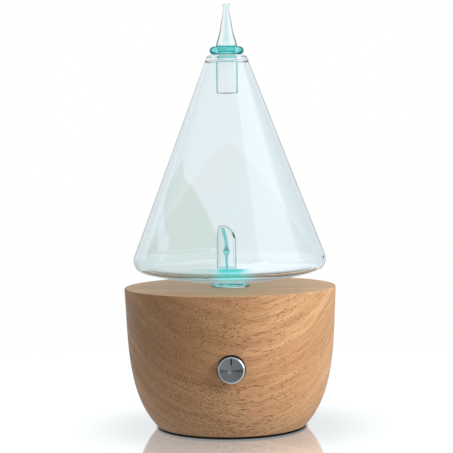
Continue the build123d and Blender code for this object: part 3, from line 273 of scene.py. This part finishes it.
def make_glass(
    name,
    teal_amount,
    rim,
    glow=0.0,
    ior=1.47,
    body=CLEAR,
    edge=(0.7, 0.9),
    line=None,
    line_above=None,
    glare=None,
    ripple=0.05,
):
    """Thin worked glass.

    teal_amount builds the share of painted lamp light in it, a teal tint and glow, from the surface and its
    place.
    edge is where, from face-on (0) to edge-on (1), the glass takes its rim tint. line is (from, to, strength,
    crossings, colour) of the painted dark outline where it turns away, drawn where light has crossed fewer
    glass surfaces than crossings; line_above is the height it grows stronger from. glare builds the share and
    colour of painted room light that a level surface shows at a glancing angle.
    """
    s = surface(name)
    place = s.place()
    amount = teal_amount(s, place)
    facing = s.facing()
    clear = s.mix(s.step(facing, *edge), rgb(*body), rgb(*rim))
    waves = s.noise(place, 38.0, 2.0, 0.4)
    glass = s.add(
        "BsdfPrincipled",
        {
            "Base Color": s.mix(amount, clear, TEAL),
            "Roughness": 0.0,
            "IOR": ior,
            "Transmission Weight": 1.0,
            "Normal": s.bump(waves, 0.0004, ripple),
            "Emission Color": GLOW,
            "Emission Strength": s.product(amount, glow),
        },
    )
    shader = glass.outputs[0]
    if line:
        share, line_colour = outline(s, place, facing, line, line_above)
        shader = s.blend(share, shader, s.glow(line_colour))
    if glare:
        share, glare_colour = glare(s, place, facing, amount)
        shader = s.blend(share, shader, s.glow(glare_colour))
    # shadows and bounced light pass straight through, so the wood under the glass is lit as it is in a room
    path = s.path()
    through = s.math("MAXIMUM", path["Is Shadow Ray"], path["Is Diffuse Ray"])
    open_air = s.add("BsdfTransparent", {"Color": OPEN_AIR})
    return s.finish(s.blend(through, shader, open_air.outputs[0]))


def outline(s, place, facing, line, line_above):
    """Share and colour of the dark line painted round a piece of glass where it turns away."""
    start, end, strength, crossings, colour = line
    if callable(crossings):
        crossings = crossings(s, place)
    if callable(colour):
        colour = colour(s, place)
    outside = s.inverse(s.add("NewGeometry").outputs["Backfacing"])
    first = s.math("LESS_THAN", s.path()["Transmission Depth"], crossings)
    share = s.product(s.step(facing, start, end), outside, first, strength)
    if line_above is not None:
        _, _, height = s.split(place)
        share = s.product(share, s.step(height, line_above, line_above + 0.012, 0.25, 1.0))
    return share, colour


def axis_miss(s, place):
    """How far left of the axis a level line of sight passes, and how far this side of it the place is."""
    x, y, _ = s.split(place)
    look_x, look_y, _ = s.split(s.to_viewer())
    left = s.math("SUBTRACT", s.product(x, look_y), s.product(y, look_x))
    return left, s.math("ADD", s.product(x, look_x), s.product(y, look_y))


def teal_in_reservoir(s, place):
    """Painted lamp light: it fills the neck and flange, and the thick middle of the floor on the near side.
    """
    _, _, height = s.split(place)
    left, nearness = axis_miss(s, place)
    ragged = s.product(s.math("SUBTRACT", s.noise(place, 240.0, 2.0), 0.5), 0.005)
    miss = s.math("ADD", s.math("ABSOLUTE", s.math("ADD", left, 0.0006)), ragged)
    neck = s.inverse(s.step(height, FLASK_UNDERSIDE, FLASK_UNDERSIDE + 0.0004))
    near_side = s.math("MAXIMUM", s.step(nearness, -0.003, 0.006), neck)
    core = s.math("MAXIMUM", s.inverse(s.step(miss, 0.0048, 0.0090)), neck)
    low = s.inverse(s.step(height, FLASK_FLOOR + 0.0004, FLASK_FLOOR + 0.0012))
    streak = s.product(s.inverse(s.step(left, 0.008, 0.028)), s.step(left, -0.013, -0.008), 0.35)
    strength = s.step(neck, 0.0, 1.0, 0.95, 0.20)
    inside = s.product(s.math("MAXIMUM", s.product(core, strength), streak), low, near_side)
    # painted lamp light: the lit middle of the floor also shows in the front of the rounded corner
    corner = s.window(height, FLASK_FLOOR + 0.0005, FLASK_FLOOR + 0.0055, 0.0015)
    middle = s.inverse(s.step(miss, 0.0030, 0.0085))
    front = s.product(corner, s.step(nearness, 0.034, 0.038), middle, 0.60)
    return s.math("MAXIMUM", inside, front)


def floor_glare(s, place, facing, teal):
    """Painted room light off the flask's floor: bluish white at the right, green-grey at the left, teal
    between.
    """
    _, _, height = s.split(place)
    left, _ = axis_miss(s, place)
    on_floor = s.window(height, FLASK_FLOOR - 0.0002, FLASK_FLOOR + 0.0017, 0.0001)
    pale = s.mix(s.step(left, -0.006, 0.012), rgb(0.98, 1.06, 1.10), rgb(0.70, 0.79, 0.77))
    return s.product(on_floor, s.step(facing, 0.76, 0.88), 0.88), s.mix(teal, pale, FLOOR_TEAL)


def teal_in_stopper(s, place):
    """Painted lamp light: it collects in the stopper's two beads, and a little of it runs up the middle of
    the spout.
    """
    _, _, height = s.split(place)
    facing = s.facing()
    left, _ = axis_miss(s, place)
    collar = s.window(height, COLLAR_LOW, COLLAR_HIGH + 0.0008, 0.0012)
    turned_away = s.step(facing, 0.05, 0.50, 0.72, 1.0)
    off_axis = s.step(s.math("ABSOLUTE", left), 0.0055, 0.0095, 0.72, 0.97)
    bead = s.product(collar, s.math("MAXIMUM", turned_away, off_axis))
    in_spout = s.step(height, COLLAR_HIGH, COLLAR_HIGH + 0.003)
    spout = s.product(in_spout, s.inverse(s.step(facing, 0.02, 0.16)), 0.20)
    return s.math("MAXIMUM", bead, spout)


def stopper_crossings(s, place):
    """The spout stands in the open, but the tube under the collar is seen through the flask's mouth."""
    _, _, height = s.split(place)
    return s.step(height, COLLAR_LOW, COLLAR_HIGH, 2.5, 0.5)


def stopper_outline(s, place):
    """Colour of the painted outline: teal below the collar, dark teal on it and grey above it."""
    _, _, height = s.split(place)
    on_collar = s.step(height, COLLAR_LOW, COLLAR_LOW + 0.002)
    above = s.step(height, COLLAR_HIGH - 0.001, COLLAR_HIGH + 0.002)
    colour = s.mix(on_collar, rgb(0.10, 0.42, 0.43), rgb(0.005, 0.19, 0.20))
    return s.mix(above, colour, rgb(0.10, 0.16, 0.17))


def teal_at_foot(share, foot_share, fade):
    """Painted lamp light that fades from foot_share at the floor of the flask to share above it."""

    def amount(s, place):
        _, _, height = s.split(place)
        floor = FLASK_FLOOR + 0.001
        low = s.inverse(s.step(height, floor, floor + fade))
        mottle = s.step(s.noise(place, 300.0, 2.0), 0.25, 0.75, 0.85, 1.0)
        return s.product(s.math("ADD", s.product(low, foot_share - share), share), mottle)

    return amount


# ---------------------------------------------------------------- metal, plastic and the rest
# places for the light painted on the knob's face
KNOB_FACE = 0.0057  # radius where the knob's spun face meets its bright edge
HUB = 0.0002  # nearer the knob's centre than this, its pattern of light is held steady
GLINT_OFFSET = 0.0009  # the glint lies this far left of the knob's centre and below it


def painted_knob_tone(s, x, z, radius, lines):
    """Painted light across the face: a dark line at mid height, a duller lower right and a glint by the
    centre.
    """
    divisor = s.math("MAXIMUM", radius, HUB)
    slope = s.math("DIVIDE", z, divisor)
    waist = s.inverse(s.step(s.math("ABSOLUTE", slope), 0.03, 0.30))
    upper = s.step(slope, -0.10, 0.25)
    upper_right = s.step(s.math("ADD", slope, s.math("DIVIDE", x, divisor)), -1.2, 1.3)
    near = s.length(s.math("ADD", x, GLINT_OFFSET), s.math("ADD", z, GLINT_OFFSET))
    tone = s.math("ADD", 0.125, s.product(upper, 0.065))
    tone = s.math("ADD", tone, s.product(s.inverse(upper_right), 0.050))
    tone = s.math("SUBTRACT", tone, s.product(waist, 0.060))
    tone = s.math("ADD", tone, s.product(s.inverse(s.step(near, 0.0001, 0.0013)), 0.16))
    return s.math("ADD", tone, s.product(s.math("SUBTRACT", lines, 0.5), 0.05))


def make_spun_metal():
    """Knob: face spun about its centre, with the bow-tie of light that such faces show painted into its
    colour, and a bright cut edge painted brighter still toward the key light.
    """
    s = surface("spun_metal")
    place = s.add("NewGeometry").outputs["Position"]
    spoke = s.add("VectorMath", {0: place, 1: KNOB_CENTRE}, operation="SUBTRACT").outputs[0]
    tangent = s.add("VectorMath", {0: spoke, 1: (0.0, 1.0, 0.0)}, operation="CROSS_PRODUCT").outputs[0]
    tangent = s.add("VectorMath", {0: tangent}, operation="NORMALIZE").outputs[0]
    x, depth, z = s.split(spoke)
    radius = s.length(x, z)
    lines = s.noise(s.join(radius, 0.0, 0.0), 9000.0, 2.0, 0.6)
    face = s.inverse(s.step(radius, KNOB_FACE, KNOB_FACE + 0.0004))
    lit_face_colour = s.grey(painted_knob_tone(s, x, z, radius, lines), 1.03, 1.10)
    # painted highlight: the cut edge is lighter toward the key light at the right
    toward_light = s.math("ADD", s.product(x, 0.5), s.product(z, -0.2))
    lit_edge_colour = s.grey(s.step(toward_light, -0.0030, 0.0030, 0.40, 0.74), 0.99, 0.98)
    colour = s.mix(face, lit_edge_colour, lit_face_colour)
    # painted shade: its side is darkened where it stands in the hole
    colour = s.mix(s.step(depth, 0.0006, 0.0014), colour, rgb(0.03, 0.022, 0.018))
    shader = s.add(
        "BsdfPrincipled",
        {
            "Base Color": colour,
            "Metallic": 1.0,
            "Roughness": s.step(face, 0.0, 1.0, 0.18, 0.34),
            "Anisotropic": s.product(face, 0.6),
            "Tangent": tangent,
            "Normal": s.bump(lines, 0.00002, 0.4),
        },
    )
    return s.finish(shader.outputs[0])


def make_plain(
    name, colour, rough, metallic=0.0, grain=900.0, depth=0.00003, vary=0.25, coat=0.0, shine=0.5
):
    """Moulded, drawn or plated piece: cloudy tone, fine surface grain and matching roughness."""
    s = surface(name)
    place = s.place()
    cloud = s.noise(place, 120.0, 3.0, 0.6)
    speck = s.noise(place, grain, 3.0, 0.65)
    shade = s.mix(s.step(cloud, 0.3, 0.7), rgb(*scaled(colour, 1.0 - vary)), rgb(*colour))
    shade = s.mix(s.product(speck, 0.18), shade, rgb(*scaled(colour, 1.25)))
    shader = s.add(
        "BsdfPrincipled",
        {
            "Base Color": shade,
            "Metallic": metallic,
            "Roughness": s.step(speck, 0.3, 0.7, rough * 0.85, min(1.0, rough * 1.15)),
            "Coat Weight": coat,
            "Specular IOR Level": shine,
            "Normal": s.bump(speck, depth, 0.5),
        },
    )
    return s.finish(shader.outputs[0])


def make_lathe_metal(name, colour, rough):
    """Drawn or turned metal with fine lines along the X axis."""
    s = surface(name)
    stretch = {0: s.place(), 1: (60.0, 2600.0, 2600.0)}
    stretched = s.add("VectorMath", stretch, operation="MULTIPLY").outputs[0]
    lines = s.noise(stretched, 1.0, 2.0, 0.6)
    shader = s.add(
        "BsdfPrincipled",
        {
            "Base Color": s.mix(lines, rgb(*scaled(colour, 0.75)), rgb(*colour)),
            "Metallic": 1.0,
            "Roughness": s.step(lines, 0.3, 0.7, rough * 0.8, rough * 1.3),
            "Normal": s.bump(lines, 0.00001, 0.5),
        },
    )
    return s.finish(shader.outputs[0])


def make_board():
    """Green board with paler tracks and solder dots."""
    s = surface("circuit_board")
    place = s.place()
    tracks = s.add("TexBrick", {"Vector": place, "Scale": 260.0, "Mortar Size": 0.06, "Mortar Smooth": 0.1})
    between_tracks = s.product(s.inverse(tracks.outputs["Fac"]), 0.75)
    colour = s.mix(between_tracks, rgb(0.05, 0.30, 0.13), rgb(0.015, 0.16, 0.06))
    cells = s.add("TexVoronoi", {"Vector": place, "Scale": 420.0, "Randomness": 0.4}).outputs["Distance"]
    dot = s.inverse(s.step(cells, 0.16, 0.22))
    colour = s.mix(dot, colour, rgb(0.62, 0.62, 0.60))
    inputs = {"Base Color": colour, "Roughness": 0.35, "Metallic": s.product(dot, 0.8)}
    return s.finish(s.add("BsdfPrincipled", inputs).outputs[0])


def make_lamp():
    """Lit lens."""
    s = surface("lamp_lens")
    cloud = s.noise(s.place(), 700.0, 2.0)
    inputs = {
        "Base Color": s.mix(cloud, rgb(0.50, 0.95, 0.90), rgb(0.85, 1.0, 0.98)),
        "Roughness": 0.25,
        "Emission Color": rgb(0.10, 0.85, 0.80),
        "Emission Strength": 2.5,
    }
    return s.finish(s.add("BsdfPrincipled", inputs).outputs[0])


# ---------------------------------------------------------------- what each piece is made of
def paint_glass():
    """The five glass pieces, each with its own tint and share of painted lamp light, and all but the socket
    with a painted outline.
    """
    reservoir = make_glass(
        "reservoir_glass",
        teal_in_reservoir,
        (0.80, 0.86, 0.88),
        glow=0.20,
        edge=(0.26, 0.72),
        line=(0.76, 0.95, 0.55, 0.5, rgb(0.40, 0.47, 0.52)),
        line_above=FLASK_FLOOR + 0.002,
        glare=floor_glare,
    )
    shroud = make_glass(
        "shroud_glass",
        teal_at_foot(0.0, 0.42, 0.0028),
        (0.60, 0.70, 0.72),
        glow=0.05,
        body=(0.985, 0.995, 0.995),
        edge=(0.30, 0.75),
        line=(0.50, 0.78, 0.85, 2.5, rgb(0.15, 0.26, 0.27)),
    )
    jet = make_glass(
        "jet_glass",
        teal_at_foot(0.80, 1.0, 0.006),
        (0.10, 0.45, 0.45),
        glow=0.06,
        edge=(0.2, 0.8),
        line=(0.15, 0.70, 0.80, 4.5, rgb(0.01, 0.28, 0.29)),
    )
    stopper = make_glass(
        "stopper_glass",
        teal_in_stopper,
        (0.85, 0.90, 0.90),
        glow=0.02,
        ior=1.30,
        body=(1.0, 1.0, 1.0),
        edge=(0.30, 0.80),
        line=(0.40, 0.66, 0.90, stopper_crossings, stopper_outline),
        ripple=0.0,
    )
    socket = make_glass("clear_socket", teal_at_foot(0.55, 0.55, 0.01), (0.5, 0.7, 0.7), glow=0.25, ior=1.5)
    paint("reservoir_flask", reservoir)
    paint("jet_shroud", shroud)
    paint("air_jet", jet)
    paint("glass_stopper", stopper)
    paint("port_holder", socket)


paint("wood_base", make_wood())
paint_glass()
paint("control_knob", make_spun_metal())

black_plastic = make_plain("black_plastic", (0.028, 0.028, 0.030), 0.48, grain=1400.0, depth=0.00004)
white_plastic = make_plain("white_nylon", (0.78, 0.77, 0.73), 0.42, vary=0.08)
pump_plastic = make_plain("pump_plastic", (0.055, 0.058, 0.065), 0.42)
soft_rubber = make_plain("soft_rubber", (0.020, 0.020, 0.021), 0.75, grain=1800.0, depth=0.00006)
silicone = make_plain("silicone", (0.72, 0.76, 0.76), 0.32, vary=0.10)
plated_steel = make_lathe_metal("plated_steel", (0.62, 0.62, 0.63), 0.28)
bright_steel = make_lathe_metal("bright_steel", (0.72, 0.72, 0.73), 0.20)
brass = make_lathe_metal("contact_brass", (0.80, 0.60, 0.28), 0.25)
board = make_board()

finishes = {
    "knob_pointer": make_plain("pointer_fill", (0.006, 0.006, 0.006), 1.0, shine=0.05),
    "bottom_cover": black_plastic,
    "foot_ring": soft_rubber,
    "cover_screws": plated_steel,
    "dial_screws": plated_steel,
    "port_screws": plated_steel,
    "head_screws": plated_steel,
    "pump_screws": plated_steel,
    "board_screws": plated_steel,
    "knob_core": white_plastic,
    "dial_shaft": bright_steel,
    "dial_bushing": brass,
    "dial_nut": plated_steel,
    "dial_plate": plated_steel,
    "dial_body": make_plain("dial_case", (0.16, 0.09, 0.05), 0.38),
    "port_seal": silicone,
    "air_hose": silicone,
    "port_elbow": white_plastic,
    "led_board": board,
    "control_board": board,
    "led_lamps": make_lamp(),
    "pump_body": pump_plastic,
    "valve_plate": pump_plastic,
    "pump_head": pump_plastic,
    "pump_conrod": white_plastic,
    "pump_eccentric": white_plastic,
    "pump_diaphragm": soft_rubber,
    "valve_flaps": soft_rubber,
    "head_gasket": soft_rubber,
    "pump_mounts": soft_rubber,
    "intake_filter": make_plain("felt", (0.80, 0.79, 0.75), 0.98, grain=2600.0, depth=0.0003),
    "motor_can": make_lathe_metal("motor_can", (0.60, 0.61, 0.63), 0.34),
    "motor_endcap": white_plastic,
    "motor_rotor": make_lathe_metal("rotor_laminations", (0.33, 0.33, 0.35), 0.42),
    "motor_windings": make_lathe_metal("copper_wire", (0.72, 0.34, 0.16), 0.30),
    "motor_magnets": make_plain("ferrite", (0.06, 0.06, 0.065), 0.6),
    "motor_terminals": brass,
    "motor_shaft": bright_steel,
    "motor_pad": make_plain("foam", (0.09, 0.09, 0.10), 0.95, grain=2200.0, depth=0.0003, vary=0.4),
    "driver_chip": make_plain("chip_case", (0.022, 0.022, 0.024), 0.5),
    "board_capacitor": make_plain("capacitor_sleeve", (0.03, 0.05, 0.18), 0.3, coat=0.3),
    "board_headers": white_plastic,
    "power_jack": black_plastic,
    "jack_pin": bright_steel,
    "jack_nut": plated_steel,
    "jack_tabs": brass,
    "motor_leads": make_plain("red_wire", (0.55, 0.03, 0.025), 0.38),
    "lamp_leads": make_plain("black_wire", (0.02, 0.02, 0.02), 0.38),
    "dial_leads": make_plain("white_wire", (0.74, 0.74, 0.72), 0.38),
    "jack_leads": make_plain("blue_wire", (0.03, 0.08, 0.35), 0.38),
}
for node_name, material in finishes.items():
    paint(node_name, material)

# ---------------------------------------------------------------- floor and studio
WHITE = rgb(1.0, 1.0, 1.0)
BOUNCE = rgb(0.80, 0.79, 0.78)  # what the floor gives the diffuse surfaces
MIRRORED = rgb(0.74, 0.77, 0.79)  # what is seen in reflections, at eye level
MIRRORED_HIGH = rgb(0.66, 0.70, 0.72)
WINDOW_LIGHT = rgb(2.3, 2.5, 2.7)
STRIP_LIGHT = rgb(1.15, 1.2, 1.25)
AMBIENT_LEFT = rgb(0.15, 0.155, 0.16)
AMBIENT_RIGHT = rgb(0.42, 0.41, 0.40)
ROOM_LEFT = rgb(0.897, 0.932, 0.942)  # the room behind the glass
ROOM_RIGHT = rgb(0.925, 0.965, 0.985)
SCREEN = rgb(0.745, 0.825, 0.770)  # the grey-green screen in it

# The screen's outline, across and up per unit of distance behind the glass.
SCREEN_CENTRE = (-0.1022, -0.1133)  # of the arc at its right
SCREEN_RADIUS = 0.1034
SHOULDER = (-0.0660, -0.0163)  # where the arc runs into the straight slope of the top edge
SHOULDER_SLOPE = 0.77
SHOULDER_TOP = 0.008
LEFT_EDGE = (-0.0686, -0.0566)  # where the upright left edge starts to lean out
LEFT_LEAN = 1.41
SECOND_ACROSS = (-0.125, -0.068)  # the second patch's top edge falls from the first
SECOND_RISE = (-0.032, -0.070)  # height to the second between these
SOFT = 0.001  # half the width of the screen's soft edges


def by_ray(s, diffuse, glossy, transmitted):
    """Colour by the kind of ray that sees it. White to the camera."""
    path = s.path()
    colour = s.mix(path["Is Diffuse Ray"], WHITE, diffuse)
    colour = s.mix(path["Is Glossy Ray"], colour, glossy)
    return s.mix(path["Is Transmission Ray"], colour, transmitted)


def screen_share(s, across, rise):
    """One on the screen: an arc at the right with a straight shoulder, cut off by a leaning left edge."""
    reach = s.length(s.math("SUBTRACT", across, SCREEN_CENTRE[0]), s.math("SUBTRACT", rise, SCREEN_CENTRE[1]))
    arc = s.inverse(s.step(reach, SCREEN_RADIUS - SOFT, SCREEN_RADIUS + SOFT))
    beside = s.math("SUBTRACT", SHOULDER[0], across)
    top = s.math("ADD", s.product(beside, SHOULDER_SLOPE), SHOULDER[1])
    below_top = s.math("SUBTRACT", s.math("MINIMUM", top, SHOULDER_TOP), rise)
    shoulder = s.product(s.step(beside, -SOFT, SOFT), s.step(below_top, -SOFT, SOFT))
    climb = s.math("MAXIMUM", s.math("SUBTRACT", rise, LEFT_EDGE[1]), 0.0)
    inset = s.math("ADD", s.math("SUBTRACT", across, LEFT_EDGE[0]), s.product(climb, LEFT_LEAN))
    first = s.product(s.math("MAXIMUM", arc, shoulder), s.step(inset, -SOFT, SOFT))
    # a second, lower one at its left
    low_edge = s.step(across, *SECOND_ACROSS, *SECOND_RISE)
    under = s.step(s.math("SUBTRACT", low_edge, rise), 0.0, 2 * SOFT)
    second = s.product(s.inverse(s.step(inset, -0.007, -0.005)), under)
    return s.math("MAXIMUM", first, second)


def beyond_glass(s, direction):
    """What a line of sight meets behind the glass: a pale room with the grey-green screen."""
    x, y, z = direction
    forward = s.math("MAXIMUM", y, 0.05)
    across = s.math("DIVIDE", x, forward)
    rise = s.math("DIVIDE", z, forward)
    screen = s.product(screen_share(s, across, rise), s.step(y, 0.2, 0.4))
    room = s.mix(s.step(across, -0.02, 0.06), ROOM_LEFT, ROOM_RIGHT)
    return s.mix(screen, room, SCREEN)


FLOOR_HALF = 2.5
# the painted shadow on the floor under the base:
CONTACT_RADIUS = 0.0375  # the floor is darkest inside this, under the base
SHADE_RADIUS = 0.040  # a soft shade fades out from here
SHADE_END = 0.090
MIRROR_RADIUS = 0.16  # the floor's mirror fades out from here
MIRROR_END = 0.34


def make_floor():
    """White gloss floor: mirrors the base more the lower it is seen, with a painted shadow where the base
    stands.
    """
    mesh = bpy.data.meshes.new("floor")
    corners = [(x * FLOOR_HALF, y * FLOOR_HALF, 0.0) for x, y in ((-1, -1), (1, -1), (1, 1), (-1, 1))]
    mesh.from_pydata(corners, [], [(0, 1, 2, 3)])
    floor = bpy.data.objects.new("floor", mesh)
    bpy.context.scene.collection.objects.link(floor)
    s = surface("glossy_white_floor")
    place = s.place()
    x, y, _ = s.split(place)
    radius = s.length(x, y)
    contact_shadow = s.step(radius, CONTACT_RADIUS, CONTACT_RADIUS + 0.003, 0.03, 1.0)
    contact_shadow = s.product(contact_shadow, s.step(radius, SHADE_RADIUS, SHADE_END, 0.80, 1.0))
    contact_shadow = s.product(contact_shadow, s.step(s.noise(place, 60.0, 2.0), 0.0, 1.0, 0.995, 1.0))
    ahead = s.add("VectorMath", {0: s.to_viewer(), "Scale": -1.0}, operation="SCALE").outputs[0]
    white = s.glow(by_ray(s, BOUNCE, MIRRORED, beyond_glass(s, s.split(ahead))), contact_shadow)
    tint = s.add("VectorMath", {0: (1.39, 1.385, 1.37), "Scale": contact_shadow}, operation="SCALE").outputs[0]
    mirror = s.add("BsdfGlossy", {"Color": tint, "Roughness": 0.06})
    near = s.inverse(s.step(radius, MIRROR_RADIUS, MIRROR_END))
    share = s.product(s.step(s.facing(), 0.30, 1.0, 0.05, 0.79), near, s.path()["Is Camera Ray"])
    mesh.materials.append(s.finish(s.blend(share, white, mirror.outputs[0])))


def make_world():
    """White to the camera. Reflections see a pale studio, a tall window at the right, a strip at the left."""
    world = bpy.data.worlds.new("studio")
    bpy.context.scene.world = world
    s = Nodes(world, "World")
    x, y, z = s.split(s.add("TexCoord").outputs["Generated"])
    azimuth = s.math("ARCTAN2", x, s.product(y, -1.0))
    glossy = s.mix(s.step(z, 0.0, 0.75), MIRRORED, MIRRORED_HIGH)
    window = s.product(s.window(azimuth, 0.62, 1.78, 0.14), s.window(z, 0.02, 0.80, 0.12))
    glossy = s.mix(window, glossy, WINDOW_LIGHT)
    strip = s.product(s.window(azimuth, -2.36, -2.16, 0.05), s.window(z, 0.18, 0.42, 0.05))
    glossy = s.mix(strip, glossy, STRIP_LIGHT)
    # bounced light is brighter from the right
    ambient = s.mix(s.step(s.math("SINE", azimuth), -1.0, 1.0), AMBIENT_LEFT, AMBIENT_RIGHT)
    colour = by_ray(s, ambient, glossy, beyond_glass(s, (x, y, z)))
    s.finish(s.add("Background", {"Color": colour, "Strength": 1.0}).outputs[0])


LIGHT_TARGET = Vector((0.0, 0.0, 0.11))
LIGHT_DISTANCE = 1.0


def make_softbox(name, azimuth, elevation, width, height, watts, tint=(1.0, 1.0, 1.0)):
    """Area light aimed at the glass. Azimuth 0 is in front, and positive is to the right."""
    a, e = math.radians(azimuth), math.radians(elevation)
    toward = Vector((math.sin(a) * math.cos(e), -math.cos(a) * math.cos(e), math.sin(e)))
    data = bpy.data.lights.new(name, "AREA")
    data.shape = "RECTANGLE"
    data.size = width
    data.size_y = height
    data.energy = watts
    data.color = tint
    light = bpy.data.objects.new(name, data)
    light.location = LIGHT_TARGET + toward * LIGHT_DISTANCE
    light.rotation_euler = toward.to_track_quat("Z", "Y").to_euler()
    light.visible_camera = False
    light.visible_glossy = False
    light.visible_transmission = False
    bpy.context.scene.collection.objects.link(light)


make_floor()
make_world()
make_softbox("key_right", 58, 26, 0.55, 0.70, 13.3, (1.0, 0.985, 0.965))
make_softbox("overhead", 10, 82, 0.7, 0.7, 3.0)

# ---------------------------------------------------------------- camera
CAMERA_DISTANCE = 0.800
CAMERA_ABOVE_WOOD = 0.077
PITCH = math.radians(3.287)
YAW = math.radians(-0.10)
ROLL = math.radians(0.85)
FOCAL_IN_FRAMES = 1541.0 / 453.0
SENSOR = 36.0


def make_camera():
    data = bpy.data.cameras.new("camera")
    data.sensor_width = SENSOR
    data.lens = SENSOR * FOCAL_IN_FRAMES
    camera = bpy.data.objects.new("camera", data)
    forward = Vector((math.sin(YAW) * math.cos(PITCH), math.cos(YAW) * math.cos(PITCH), -math.sin(PITCH)))
    level_right = forward.cross(Vector((0.0, 0.0, 1.0))).normalized()
    level_up = level_right.cross(forward)
    right = math.cos(ROLL) * level_right - math.sin(ROLL) * level_up
    up = math.sin(ROLL) * level_right + math.cos(ROLL) * level_up
    turn = Matrix((right, up, -forward)).transposed().to_4x4()
    position = Vector((0.0, -CAMERA_DISTANCE, WOOD_TOP + CAMERA_ABOVE_WOOD))
    camera.matrix_world = Matrix.Translation(position) @ turn
    bpy.context.scene.collection.objects.link(camera)
    bpy.context.scene.camera = camera


make_camera()
bpy.context.scene.view_settings.view_transform = "Standard"
bpy.context.scene.view_settings.look = "None"
